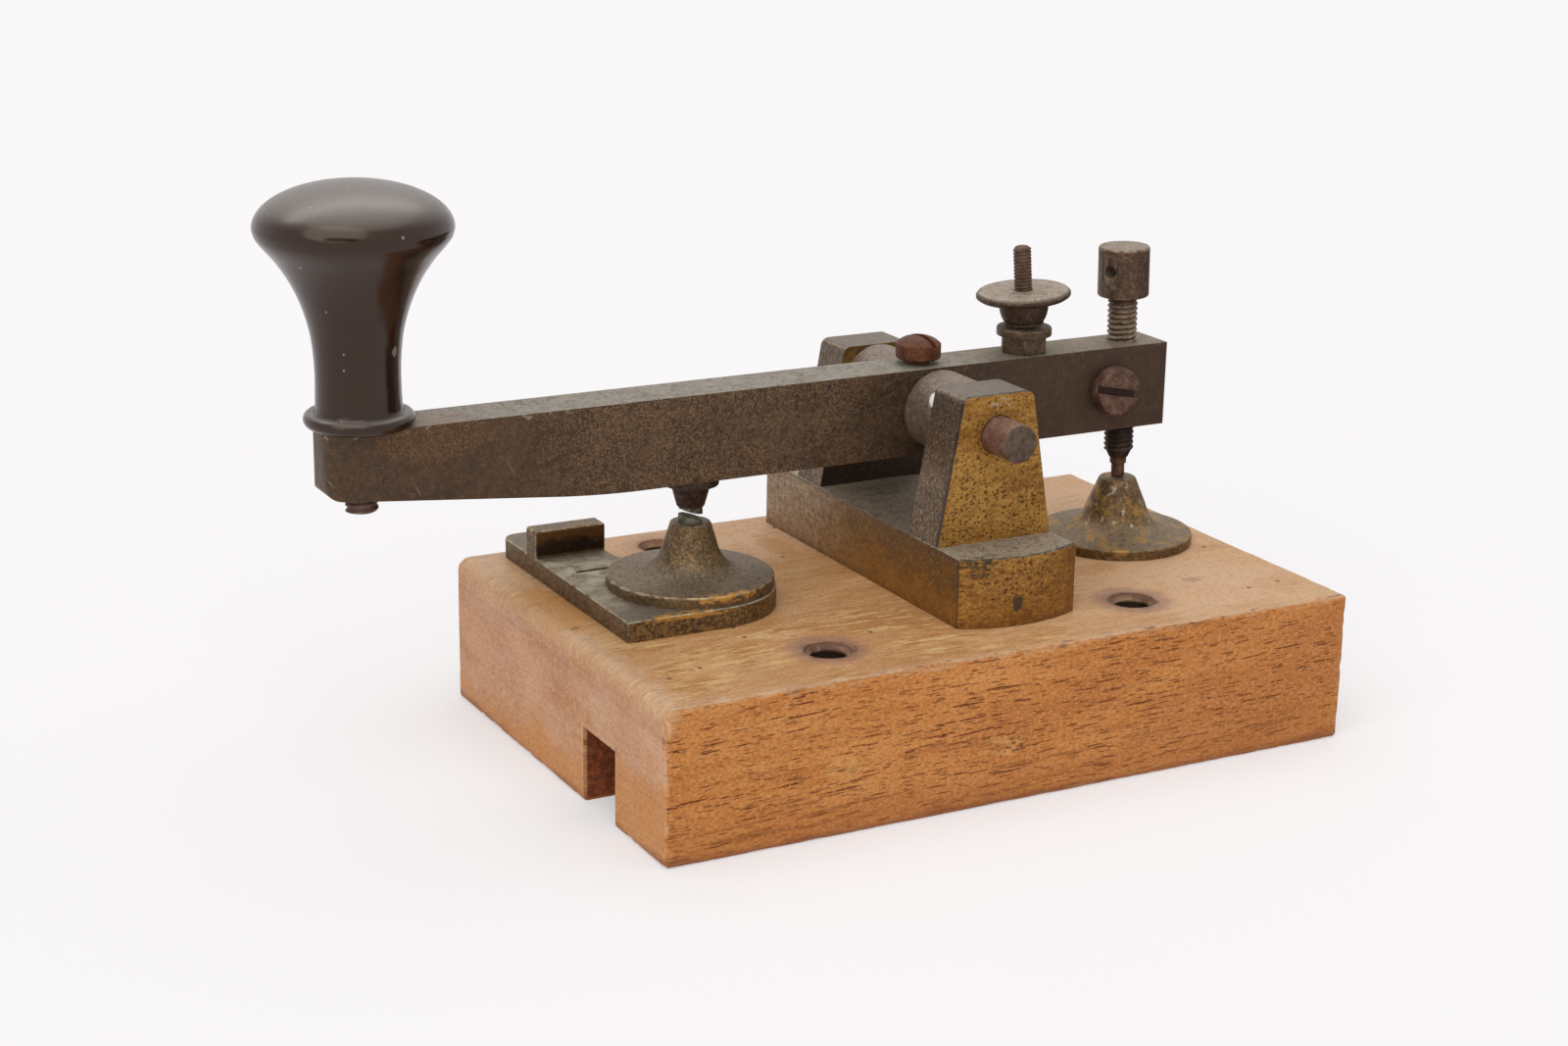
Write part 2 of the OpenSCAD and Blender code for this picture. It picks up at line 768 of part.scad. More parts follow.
// Side view of half the knob: bead, cove, waist, flare, rounded rim and domed top
module knob_outline() {
    bead_r = bead_h / 2;
    waist_r = waist_d / 2;
    rim_r = knob_d / 2;
    wide_z = knob_wide_h;
    dome_h = knob_h - knob_wide_h;
    flare_end = [rim_r * 0.71, wide_z * 0.805];
    polygon(concat(
        [[0, 0], [bead_d / 2 - bead_r, 0]],
        arc([bead_d / 2 - bead_r, bead_r], bead_r, -90, 90),
        bend([waist_r + bead_cove, bead_h], [waist_r, bead_h], [waist_r, bead_h + bead_cove], 4),
        bend([waist_r, wide_z * 0.31], [waist_r * 1.035, wide_z * 0.594], flare_end, 12),
        bend(flare_end, [rim_r * 0.988, wide_z * 0.92], [rim_r, wide_z], 6),
        [for (i = [1 : 10]) let (a = 9 * i) [rim_r * cos(a), wide_z + dome_h * sin(a)]]));
}

module knob() color("black")
    translate([knob_x, 0, lever_top])
        difference() {
            rotate_extrude($fn = 96)
                knob_outline();
            translate([0, 0, -past])
                cylinder(d = knob_screw_d + 2 * screw_fit, h = knob_bore_h + past + screw_fit);
        }

module knob_screw() color("saddlebrown")
    translate([knob_x, 0, knob_low - knob_screw_out])
        cylinder(d = knob_screw_d, h = lever_top - knob_low + knob_screw_out + knob_bore_h);

module lever_contact() color("darkkhaki")
    difference() {
        translate([contact_x, 0, lever_low]) {
            nose_h = lever_contact_h - point_out;
            rotate_extrude()
                polygon([[0, -nose_h], [contact_nose_d / 2, -nose_h], [contact_root_d / 2, -lever_flange_t - 0.2],
                         [lever_flange_d / 2, -lever_flange_t], [lever_flange_d / 2, 0],
                         [contact_shank_d / 2, 0], [contact_shank_d / 2, contact_shank_h], [0, contact_shank_h]]);
        }
        translate([contact_x, 0, lever_face_z])
            cylinder(d = point_core_d + 2 * screw_fit, h = point_out + point_depth);
    }

module lever_contact_point() color("dimgray")
    above_slant(lever_face_z)
        translate([contact_x, 0, lever_face_z + point_out]) {
            translate([0, 0, -2 * point_out])
                cylinder(d = point_d, h = 2 * point_out);
            cylinder(d = point_core_d, h = point_depth - screw_fit);
        }

module stop_screw() color("sienna")
    on_stop_axis()
        difference() {
            union() {
                translate([0, 0, stop_nose_h + stop_taper_h])
                    cylinder(d = stop_d, h = stop_head_z - stop_nose_h - stop_taper_h);
                translate([0, 0, stop_nose_h])
                    cylinder(d1 = stop_nose_d, d2 = stop_d, h = stop_taper_h);
                translate([0, 0, stop_head_z - stop_neck_h])
                    cylinder(d1 = stop_d, d2 = stop_d + 2 * stop_neck_h, h = stop_neck_h);
                translate([0, 0, stop_head_z])
                    cylinder(d = stop_head_d, h = stop_head_h);
            }
            translate([0, 0, stop_nose_h - past])
                cylinder(d = stop_core_d + 2 * screw_fit, h = stop_core_h + past + screw_fit);
            translate([0, 0, stop_head_z + stop_head_h * 0.53])
                rotate([90, 0, -tommy_turn])
                    cylinder(d = tommy_d, h = 2 * stop_head_d, center = true);
        }

// The stop screw's contact tip, with a small shoulder and a core up the screw
module stop_point() color("gray")
    on_stop_axis() {
        shoulder_z = stop_nose_h - screw_fit - stop_shoulder_h;
        cylinder(d = stop_tip_d, h = shoulder_z);
        translate([0, 0, shoulder_z])
            cylinder(d = stop_tip_d + 0.5, h = stop_shoulder_h);
        translate([0, 0, shoulder_z])
            cylinder(d = stop_core_d, h = stop_shoulder_h + stop_core_h);
    }

module lock_screw() color("brown")
    translate([lock_x, -lever_w / 2, lock_z])
        rotate([90, 0, 0])
            difference() {
                union() {
                    translate([0, 0, screw_fit])
                        cylinder(d = lock_head_d, h = lock_head_t - screw_fit);
                    translate([0, 0, -lock_l])
                        cylinder(d = lock_d, h = lock_l + lock_head_t / 2);
                }
                translate([-lock_head_d, -lock_slot_w / 2, lock_head_t - lock_slot_h])
                    cube([2 * lock_head_d, lock_slot_w, lock_slot_h + past]);
            }

module tension_collar() color("darkkhaki")
    translate([collar_x, 0, lever_top])
        difference() {
            union() {
                cylinder(d = hex_w / cos(30), h = hex_h, $fn = 6);
                translate([0, 0, hex_h])
                    cylinder(d = ring_d, h = ring_t);
            }
            translate([0, 0, -past])
                cylinder(d = ring_bore_d, h = hex_h + ring_t + 2 * past);
        }

module thumb_nut() color("dimgray")
    on_tension_axis()
        translate([0, 0, seat_z])
            difference() {
                rotate_extrude()
                    polygon(concat(
                        [[0, 0], [bell_foot_d / 2, 0]],
                        bend([bell_foot_d / 2, 0.4], [bell_top_d / 2, bell_h / 3], [bell_top_d / 2, bell_h]),
                        [[thumb_d / 2 - 0.6, bell_h], [thumb_d / 2, bell_h + thumb_t / 3],
                         [thumb_d / 2, bell_h + thumb_t * 2 / 3], [thumb_d / 2 - 0.4, bell_h + thumb_t],
                         [0, bell_h + thumb_t]]));
                translate([0, 0, -past])
                    cylinder(d = rod_d + 2 * screw_fit, h = bell_h + thumb_t + 2 * past);
            }

module tension_rod() color("sienna")
    on_tension_axis() {
        translate([0, 0, rod_low + plug_h])
            cylinder(d = rod_d, h = rod_high - rod_low - plug_h);
        translate([0, 0, rod_low])
            cylinder(d = plug_d, h = plug_h + past);
    }

module spring_post() color("sienna")
    on_tension_axis() {
        translate([0, 0, -post_depth])
            cylinder(d = post_d, h = post_depth + post_bare);
        cylinder(d = plug_d, h = post_bare + plug_h + wire_d);
    }

// The spring is one tube round a helix, with a straight end one wire long at the top and at the bottom
function coil_at(turn) = [coil_r * cos(360 * turn), coil_r * sin(360 * turn), coil_low + wire_pitch * turn];
function coil_along(turn) =
    let (v = [-2 * PI * coil_r * sin(360 * turn), 2 * PI * coil_r * cos(360 * turn), wire_pitch]) v / norm(v);
function coil_ring(centre, turn) =
    let (out = [cos(360 * turn), sin(360 * turn), 0], up = cross(coil_along(turn), out))
    [for (side = [0 : coil_sides - 1]) let (a = 360 * side / coil_sides)
        centre + wire_d / 2 * (cos(a) * out + sin(a) * up)];
coil_steps = coil_turns * coil_rings;
coil_path = concat(
    [coil_at(0) - wire_d * coil_along(0)],
    [for (i = [0 : coil_steps]) coil_at(i / coil_rings)],
    [coil_at(coil_turns) + wire_d * coil_along(coil_turns)]);
coil_place = concat([0], [for (i = [0 : coil_steps]) i / coil_rings], [coil_turns]);
coil_gap = min([for (i = [0 : len(coil_path) - 1], j = [i + coil_rings / 2 : len(coil_path) - 1])
    norm(coil_path[i] - coil_path[j])]) - wire_d;

module tension_spring() color("slategray")
    on_tension_axis() {
        echo(str("least gap of the spring to itself: ", coil_gap, " mm"));
        last = len(coil_path) - 1;
        points = [for (i = [0 : last]) each coil_ring(coil_path[i], coil_place[i])];
        walls = [for (i = [0 : last - 1], k = [0 : coil_sides - 1])
            let (a = i * coil_sides + k, b = i * coil_sides + (k + 1) % coil_sides)
            each [[a, a + coil_sides, b + coil_sides], [a, b + coil_sides, b]]];
        low_cap = [for (k = [1 : coil_sides - 2]) [0, k, k + 1]];
        high_cap = [for (k = [1 : coil_sides - 2])
            [last * coil_sides, last * coil_sides + k + 1, last * coil_sides + k]];
        polyhedron(points, concat(walls, low_cap, high_cap));
    }

base();
front_plate();
plate_screw();
front_anvil();
front_anvil_point();
rear_anvil();
rear_anvil_point();
contact_washers();
contact_nuts();
bridge();
bridge_washers();
bridge_bolts();
pivot_pin();
pivot_collars();
lever();
set_screw();
knob();
knob_screw();
lever_contact();
lever_contact_point();
stop_screw();
stop_point();
lock_screw();
tension_collar();
thumb_nut();
tension_rod();
tension_spring();
spring_post();
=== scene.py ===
import math
from functools import partialmethod

import bmesh
import bpy
from mathutils import Matrix, Vector, noise


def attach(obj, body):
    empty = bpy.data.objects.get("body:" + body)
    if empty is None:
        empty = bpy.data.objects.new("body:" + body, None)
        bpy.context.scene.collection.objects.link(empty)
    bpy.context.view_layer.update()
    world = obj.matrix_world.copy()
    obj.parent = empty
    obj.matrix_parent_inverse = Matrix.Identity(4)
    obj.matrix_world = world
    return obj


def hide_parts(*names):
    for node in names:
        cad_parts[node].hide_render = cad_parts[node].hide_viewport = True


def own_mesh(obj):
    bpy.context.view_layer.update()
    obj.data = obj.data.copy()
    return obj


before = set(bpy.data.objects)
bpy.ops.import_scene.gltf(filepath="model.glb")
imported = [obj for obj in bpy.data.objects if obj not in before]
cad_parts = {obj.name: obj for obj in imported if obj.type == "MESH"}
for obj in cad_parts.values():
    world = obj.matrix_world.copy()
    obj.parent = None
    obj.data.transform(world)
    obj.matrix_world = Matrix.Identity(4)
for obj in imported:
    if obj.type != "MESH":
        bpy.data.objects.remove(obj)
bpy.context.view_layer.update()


# Base
# One block of reddish-brown hardwood, planed square and varnished, its edges worn pale and dented by use.
# Four countersunk holes go through it; below, a groove, two channels and three wells take wires, nuts and bolts.
MM = 0.001
BASE_LOW, BASE_HIGH = Vector((-55, -37.9, 0)), Vector((55, 34.1, 22))
FRONT_X, PIVOT_X, STOP_X = -33, 5, 40.1
FRONT_EDGE_R, EDGE_R, DENT_REACH = 1.7, 0.6, 0.58
HOLE_X, HOLE_Y, HOLE_R, SINK_R = 25, 26.25, 2.6, 3.7
GROOVE_NEAR, GROOVE_FAR, GROOVE_END, GROOVE_TOP = -22.3, -11.9, 45, 11
CHANNEL_NEAR, CHANNEL_FAR, CHANNEL_HALF = -17, -1, 4
BOLT_Y, STUD_HOLE_R, WELL_R = 17.1, 2.2, 7.25
WELLS = ((FRONT_X, 0), (STOP_X, 0), (PIVOT_X, BOLT_Y))
OVERCUT = 1


class Finish:
    """A procedural material, drawn in millimetres on the piece's own coordinates and built up in layers."""

    def __init__(self, name, **sockets):
        self.material = bpy.data.materials.new(name)
        self.material.use_nodes = True
        self.tree = self.material.node_tree
        self.shader = self.tree.nodes["Principled BSDF"]
        for socket, value in sockets.items():
            self.shader.inputs[socket.replace("_", " ")].default_value = value
        self.colour = self.rough = self.height = None
        coordinates = self.add("TexCoord")
        self.place = self.add("VectorMath", {0: coordinates.outputs["Object"], "Scale": 1 / MM},
                              operation="SCALE").outputs[0]
        self.x, self.y, self.z = self.add("SeparateXYZ", {0: self.place}).outputs
        self.facing = self.add("SeparateXYZ", {0: coordinates.outputs["Normal"]}).outputs

    def add(self, kind, inputs=None, **settings):
        node = self.tree.nodes.new("ShaderNode" + kind)
        for key, value in settings.items():
            setattr(node, key, value)
        for key, value in (inputs or {}).items():
            self.feed(node.inputs[key], value)
        return node

    def feed(self, socket, value):
        if isinstance(value, bpy.types.NodeSocket):
            self.tree.links.new(value, socket)
        elif socket.type == "RGBA" and len(value) == 3:
            socket.default_value = (*value, 1)
        else:
            socket.default_value = value

    def calc(self, operation, first, *others):
        """Takes the values together in turn by one operation."""
        for other in others:
            first = self.add("Math", {0: first, 1: other}, operation=operation).outputs[0]
        return first

    plus, minus = partialmethod(calc, "ADD"), partialmethod(calc, "SUBTRACT")
    times = partialmethod(calc, "MULTIPLY")
    most, least = partialmethod(calc, "MAXIMUM"), partialmethod(calc, "MINIMUM")
    above, below = partialmethod(calc, "GREATER_THAN"), partialmethod(calc, "LESS_THAN")

    def absolute(self, value):
        return self.calc("ABSOLUTE", value, 0.0)

    def step(self, value, low, high, start=0.0, end=1.0):
        """Eases from start to end while the value goes from low to high."""
        return self.add("MapRange", {"Value": value, "From Min": low, "From Max": high, "To Min": start,
                                     "To Max": end}, interpolation_type="SMOOTHSTEP").outputs[0]

    def fade(self, value, low, high, share=1.0):
        """Eases from a share to nothing while the value goes from low to high."""
        return self.step(value, low, high, share, 0.0)

    def point(self, x, y, z=0.0):
        return self.add("CombineXYZ", {0: x, 1: y, 2: z}).outputs[0]

    def length(self, vector):
        return self.add("VectorMath", {0: vector}, operation="LENGTH").outputs[1]

    def stretched(self, scale, shift=(0, 0, 0), turn=(0, 0, 0), place=None):
        return self.add("Mapping", {"Vector": place or self.place, "Scale": scale, "Location": shift,
                                    "Rotation": [math.radians(t) for t in turn]}).outputs[0]

    def cloud(self, size, detail=3.0, stretch=(1, 1, 1), shift=(0, 0, 0), place=None):
        """Soft noise from 0 to 1 with spots about that many millimetres across, longer where stretch is above 1."""
        scale = [1 / (size * s) for s in stretch]
        return self.add("TexNoise", {"Vector": self.stretched(scale, shift, place=place), "Scale": 1.0,
                                     "Detail": detail, "Roughness": 0.55}).outputs[0]

    def ragged(self, value, by, *cloud, **more):
        """A value that soft noise carries up by as much as that."""
        return self.plus(value, self.times(self.cloud(*cloud, **more), by))

    def cells(self, size, stretch=(1, 1, 1), shift=(0, 0, 0), place=None, depth="3D"):
        """Distance to the nearest of scattered points, as a share of their spacing, and a value for each point."""
        scale = [1 / (size * s) for s in stretch]
        node = self.add("TexVoronoi", {"Vector": self.stretched(scale, shift, place=place), "Scale": 1.0},
                        voronoi_dimensions=depth)
        return node.outputs[0], self.add("SeparateXYZ", {0: node.outputs[1]}).outputs[0]

    def ramp(self, value, *stops):
        node = self.add("ValToRGB", {0: value})
        elements = node.color_ramp.elements
        while len(elements) < len(stops):
            elements.new(0.5)
        for element, (position, colour) in zip(elements, stops):
            element.position, element.color = position, (*colour, 1)
        return node.outputs[0]

    def mix(self, share, first, second):
        return self.add("Mix", {0: share, 6: first, 7: second}, data_type="RGBA").outputs[2]

    def patch(self, centre, radius, ragged=0.5, grain=1.2, stretch=(1, 1, 1)):
        """A spot with a ragged edge round a point, 1 inside and 0 outside."""
        away = self.add("VectorMath", {0: self.place, 1: centre}, operation="SUBTRACT").outputs[0]
        away = self.add("VectorMath", {0: away, 1: [1 / (radius * s) for s in stretch]},
                        operation="MULTIPLY").outputs[0]
        edge = self.plus(self.length(away), self.times(self.cloud(grain, 4), 2 * ragged))
        return self.fade(edge, 0.75 + ragged, 1.05 + ragged)

    def worn(self):
        return self.add("Attribute", attribute_name="worn").outputs["Fac"]

    def lay(self, colour, *shares):
        """Covers what is there with a colour, by the shares taken times one another."""
        self.colour = self.mix(self.times(*shares), self.colour, colour)

    def emboss(self, value, depth):
        """Raises the surface by a share of that many millimetres, or sinks it where the depth is below 0."""
        raised = self.times(value, depth)
        self.height = raised if self.height is None else self.plus(self.height, raised)

    def seal(self):
        self.feed(self.shader.inputs["Base Color"], self.colour)
        self.feed(self.shader.inputs["Roughness"], self.rough)
        if self.height is not None:
            bump = self.add("Bump", {"Height": self.height, "Distance": MM, "Strength": 1.0})
            self.feed(self.shader.inputs["Normal"], bump.outputs[0])
        return self.material


def block(low, high):
    """A square block between two corners."""
    low, high = Vector(low), Vector(high)
    bm = bmesh.new()
    bmesh.ops.create_cube(bm, size=1)
    bmesh.ops.scale(bm, vec=high - low, verts=bm.verts)
    bmesh.ops.translate(bm, vec=(low + high) / 2, verts=bm.verts)
    return bm


def turned(profile, steps=64):
    """Spins a side profile of radius and height about the upright axis, as on a lathe."""
    bm = bmesh.new()
    points = [bm.verts.new((r, 0, z)) for r, z in profile]
    edges = [bm.edges.new(pair) for pair in zip(points, points[1:])]
    bmesh.ops.spin(bm, geom=points + edges, cent=(0, 0, 0), axis=(0, 0, 1), dvec=(0, 0, 0),
                   angle=2 * math.pi, steps=steps, use_merge=True, use_duplicate=False)
    bmesh.ops.remove_doubles(bm, verts=bm.verts, dist=1e-4)
    bmesh.ops.recalc_face_normals(bm, faces=bm.faces)
    return bm


def round_bar(r, low, high, steps=32):
    """A plain upright bar, for a drill or a pin."""
    return turned([(0, low), (r, low), (r, high), (0, high)], steps)


def placed(bm, at=(0, 0, 0), turn=(0, 0, 0)):
    """Turns a shape, in degrees about X, then Y, then Z, and moves it to its place."""
    matrix = Matrix.Translation(at)
    for axis, angle in zip("ZYX", reversed(turn)):
        matrix = matrix @ Matrix.Rotation(math.radians(angle), 4, axis)
    bmesh.ops.transform(bm, matrix=matrix, verts=bm.verts)
    return bm


def joined(*shapes):
    """Puts several shapes into one mesh."""
    whole = bmesh.new()
    for shape in shapes:
        mesh = bpy.data.meshes.new("shape")
        shape.to_mesh(mesh)
        shape.free()
        whole.from_mesh(mesh)
        bpy.data.meshes.remove(mesh)
    return whole


def worked(bm, *tools, operation="DIFFERENCE"):
    """Cuts each tool's shape out of a mesh, or adds it on for a union."""
    things = []
    for shape in (bm, *tools):
        bmesh.ops.recalc_face_normals(shape, faces=shape.faces)
        mesh = bpy.data.meshes.new("shape")
        shape.to_mesh(mesh)
        shape.free()
        things.append(bpy.data.objects.new("shape", mesh))
        bpy.context.scene.collection.objects.link(things[-1])
    for tool in things[1:]:
        step = things[0].modifiers.new("work", "BOOLEAN")
        step.operation, step.solver, step.object = operation, "EXACT", tool
    mesh = bpy.data.meshes.new_from_object(things[0].evaluated_get(bpy.context.evaluated_depsgraph_get()))
    result = bmesh.new()
    result.from_mesh(mesh)
    for old in [mesh] + [thing.data for thing in things]:
        bpy.data.meshes.remove(old)
    bmesh.ops.remove_doubles(result, verts=result.verts, dist=1e-4)
    return result


def ease_edges(bm, width, edges=None, sharper=30, segments=3):
    """Rounds the given edges, or all that are sharper than an angle."""
    if edges is None:
        edges = [e for e in bm.edges if e.is_manifold and math.degrees(e.calc_face_angle()) > sharper]
    bmesh.ops.bevel(bm, geom=edges, offset=width, offset_type="OFFSET", segments=segments, profile=0.5,
                    affect="EDGES", clamp_overlap=True, material=-1)
    return bm


def bisected(bm, at, normal, clear_outer=False):
    """Cuts through a whole shape along a plane and gives back the edges of the cut."""
    cut = bmesh.ops.bisect_plane(bm, geom=bm.verts[:] + bm.edges[:] + bm.faces[:], plane_co=at, plane_no=normal,
                                 clear_outer=clear_outer)
    return [e for e in cut["geom_cut"] if isinstance(e, bmesh.types.BMEdge)]


def piece(name, bm, body, slot, material, *replaced, smooth=35):
    """Makes a shape drawn in millimetres a piece of the key that moves with a body of the frame."""
    bmesh.ops.remove_doubles(bm, verts=bm.verts, dist=1e-4)
    bmesh.ops.recalc_face_normals(bm, faces=bm.faces)
    worn = bm.verts.layers.float.new("worn")
    for vert in bm.verts:
        bend = max((math.degrees(e.calc_face_angle_signed(0.0)) for e in vert.link_edges), default=0.0)
        vert[worn] = min(1.0, max(0.0, (bend - 25) / 5))
    bmesh.ops.scale(bm, vec=(MM, MM, MM), verts=bm.verts)
    mesh = bpy.data.meshes.new(name)
    bm.to_mesh(mesh)
    bm.free()
    mesh.polygons.foreach_set("use_smooth", [True] * len(mesh.polygons))
    mesh.set_sharp_from_angle(angle=math.radians(smooth))
    mesh.materials.append(material)
    made = bpy.data.objects.new(name, mesh)
    bpy.context.scene.collection.objects.link(made)
    made.modifiers.new("even shading", "WEIGHTED_NORMAL").keep_sharp = True
    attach(made, body)
    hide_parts(*replaced)
    return made


def dented_block():
    """The wooden block with its edges rounded unevenly by wear, most at the top of the front end."""
    bm = block(BASE_LOW, BASE_HIGH)
    front = [e for e in bm.edges if all(v.co.x < 0 and v.co.z > 1 for v in e.verts)]
    ease_edges(bm, FRONT_EDGE_R, front, segments=4)
    ease_edges(bm, EDGE_R, sharper=50)
    for axis in range(3):
        normal = Vector([axis == i for i in range(3)])
        for k in range(math.ceil(BASE_LOW[axis]) + 1, math.floor(BASE_HIGH[axis])):
            bisected(bm, normal * k, normal)
    centre = (BASE_LOW + BASE_HIGH) / 2
    for vert in bm.verts:
        depth = [min(vert.co[i] - BASE_LOW[i], BASE_HIGH[i] - vert.co[i]) for i in range(3)]
        if sorted(depth)[1] < DENT_REACH and min(depth) > 0.02:
            broad, small = noise.noise(vert.co * 0.16), noise.noise(vert.co * 0.7 + centre)
            dent = max(0, broad) * 0.4 + max(0, small - 0.15) * 0.9
            inward = Vector([math.copysign(d < DENT_REACH, centre[i] - vert.co[i]) for i, d in enumerate(depth)])
            vert.co += inward.normalized() * dent * 0.5
    return bm


def side_tone(f, streak, broad):
    """The long sides: orange-brown, redder towards the tail and the foot."""
    tone = f.plus(f.times(streak, 0.5), f.times(broad, 0.5))
    sides = f.ramp(tone, (0.36, (0.43, 0.15, 0.036)), (0.5, (0.525, 0.207, 0.054)), (0.64, (0.59, 0.258, 0.079)))
    redder = f.times(f.step(f.cloud(13, 3, (2.5, 1, 1), (5, 5, 5)), 0.36, 0.62),
                     f.step(f.minus(f.x, f.times(f.z, 1.5)), -70, 30, 0.15, 0.62))
    return f.mix(redder, sides, (0.4, 0.142, 0.044))


def end_tone(f):
    """End grain: mottled and dull, with an amber stain along the foot."""
    ends = f.ramp(f.cloud(7, 4, (1, 2, 1)),
                  (0.34, (0.44, 0.21, 0.102)), (0.5, (0.52, 0.28, 0.16)), (0.66, (0.58, 0.335, 0.195)))
    ends = f.mix(f.step(f.cloud(5, 5, (1, 1.5, 1), (2, 5, 3)), 0.45, 0.7, 0, 0.45), ends, (0.46, 0.28, 0.2))
    ends = f.mix(f.step(f.cloud(0.7, 3, (1, 1.5, 1), (4, 5, 3)), 0.5, 0.65, 0, 0.35), ends, (0.64, 0.41, 0.25))
    amber = f.plus(f.z, f.times(f.y, 0.16), f.times(f.cloud(5, 4, (1, 2, 1), (1, 1, 6)), 22))
    return f.mix(f.fade(amber, 13, 21, 0.85), ends, (0.53, 0.23, 0.072))


def top_tone(f, grain, streak, broad, varnish):
    """The top: bare wood with pale and dark dashes near the front, old varnish, a painted sheen towards the tail and
    the far side, a pale rim and a few stains.
    """
    level = f.plus(f.times(streak, 0.25), f.times(broad, 0.75))
    flat = f.ramp(level, (0.38, (0.43, 0.215, 0.08)), (0.5, (0.52, 0.283, 0.118)), (0.62, (0.6, 0.37, 0.18)))
    bare = f.times(f.step(f.ragged(f.y, 8, 6, 3), -10, -5, 1.0, 0.3), f.step(f.x, -10, 20, 1.0, 0.65), 0.75)
    lines = f.step(f.cloud(1.2, 2, (4.5, 1, 1), (7, 0, 0), grain), 0.5, 0.6)
    flat = f.mix(f.times(lines, bare), flat, (0.69, 0.46, 0.22))
    dashes = f.step(f.cloud(1.1, 2, (4.5, 1, 1), (2, 4, 1), grain), 0.54, 0.62)
    flat = f.mix(f.times(dashes, bare), flat, (0.36, 0.165, 0.045))
    gloss = f.mix(f.step(streak, 0.4, 0.6), (0.47, 0.24, 0.097), (0.52, 0.285, 0.128))
    flat = f.mix(f.times(varnish, 0.85), flat, gloss)
    # Paler towards the tail and the far side: a painted sheen on the varnish.
    tail = f.times(f.step(f.x, -15, 40), f.step(f.cloud(8, 4, (1.5, 1, 1)), 0.3, 0.6, 0.4, 1.0))
    far = f.step(f.ragged(f.y, 14, 9, 3, shift=(3, 1, 1)), 16, 30, 0.0, 0.85)
    flat = f.mix(f.most(tail, far), flat, (0.625, 0.4, 0.24))
    rim = f.least(f.minus(f.x, BASE_LOW.x), f.minus(f.y, BASE_LOW.y - 2.5), f.minus(BASE_HIGH.y, f.y))
    rim = f.ragged(rim, 7.0, 3, 4)
    flat = f.mix(f.fade(rim, 4.5, 8.5, 0.85), flat, f.mix(f.cloud(1.2, 4), (0.5, 0.3, 0.18), (0.66, 0.46, 0.32)))
    for spot, size, stretch, share, tint in (((-52.5, 6), 5, (0.8, 2.4, 1), 0.8, (0.52, 0.25, 0.075)),
                                             ((-9, 19), 4, (0.6, 1.6, 1), 0.5, (0.5, 0.23, 0.07)),
                                             ((28, -11.5), 3.5, (1.6, 0.7, 1), 0.5, (0.46, 0.22, 0.085)),
                                             ((38.5, -22), 1.6, (1, 0.8, 1), 0.5, (0.3, 0.19, 0.12)),
                                             ((-52.3, -3.3), 0.7, (1.2, 0.8, 1), 0.8, (0.16, 0.1, 0.07))):
        stain = f.patch((*spot, BASE_HIGH.z), size, 0.7, 0.6 * size, stretch)
        flat = f.mix(f.times(stain, share), flat, tint)
    return flat


def lay_pores(f, grain, sway, top, end, side):
    """Long dark pores of several sizes along the grain, thin threads between them and a fine speckle."""
    dense = f.times(f.step(f.cloud(5, 3, (6, 1, 1), place=grain), 0.36, 0.6, 0.6, 1.0),
                    f.step(f.ragged(f.x, 30, 12, 3), 25, 50, 1.0, 0.78))
    fainter = f.times(f.step(end, 0, 1, 1.0, 0.12), f.step(top, 0, 1, 1.0, 0.5))
    face = f.point(f.x, f.plus(sway, f.times(f.y, top), f.times(f.z, f.minus(1.0, top))))
    dark = f.mix(top, (0.115, 0.021, 0.003), (0.24, 0.105, 0.04))
    for size, length, reach, share in ((1.25, 19, 0.125, 0.95), (0.95, 13, 0.14, 0.95), (0.8, 12, 0.15, 0.9),
                                       (0.62, 9, 0.17, 0.85), (0.55, 8, 0.17, 0.8)):
        away, chance = f.cells(size, (length, 1, 1), (0.37 * length, size, 0), face, "2D")
        width = f.times(f.step(chance, 0.2, 1.0, 0.5, 1.1), dense, reach)
        pore = f.times(f.fade(f.minus(away, width), -0.02, 0.008, share), f.above(chance, 0.22), fainter)
        f.lay(dark, pore)
        f.emboss(pore, -0.03)
    thread = f.step(f.cloud(0.8, 2, (32, 1, 1), (3, 6, 2), grain), 0.58, 0.63)
    f.lay((0.2, 0.062, 0.018), thread, side, f.step(f.plus(f.z, f.times(f.x, 0.06)), 4, 12, 0.6, 0.15))
    speckle = f.cloud(0.4, 1, (1.5, 1.3, 1), (3, 3, 3))
    f.lay((0.33, 0.112, 0.028), f.step(speckle, 0.52, 0.66), f.step(side, 0, 1, 0.3, 0.5))
    f.lay((0.68, 0.36, 0.14), f.fade(speckle, 0.34, 0.48), f.step(side, 0, 1, 0.28, 0.35))


def lay_hole_stains(f, hole, top):
    """Dark rings round the mounting holes, fainter at the far side, and dark specks scattered on the top."""
    ring = f.plus(hole, f.times(f.minus(f.cloud(2.0, 4), 0.5), 3.4))
    grime = f.step(f.y, 5, 15, 1.0, 0.5)
    inner = f.times(f.step(f.z, 18, 20), grime)
    f.lay((0.25, 0.13, 0.105), f.fade(ring, 4.4, 7.0, 0.55), f.step(f.z, 20, 21.5), grime)
    f.lay((0.1, 0.048, 0.036), f.fade(ring, 2.8, 4.4, 0.85), inner)
    f.lay((0.12, 0.06, 0.04), f.fade(hole, 3.3, 4.1, 0.8), inner)
    speck, chance = f.cells(5.5, depth="2D")
    f.lay((0.12, 0.07, 0.05), f.fade(speck, 0.05, 0.085, 0.9), f.below(chance, 0.12), top)


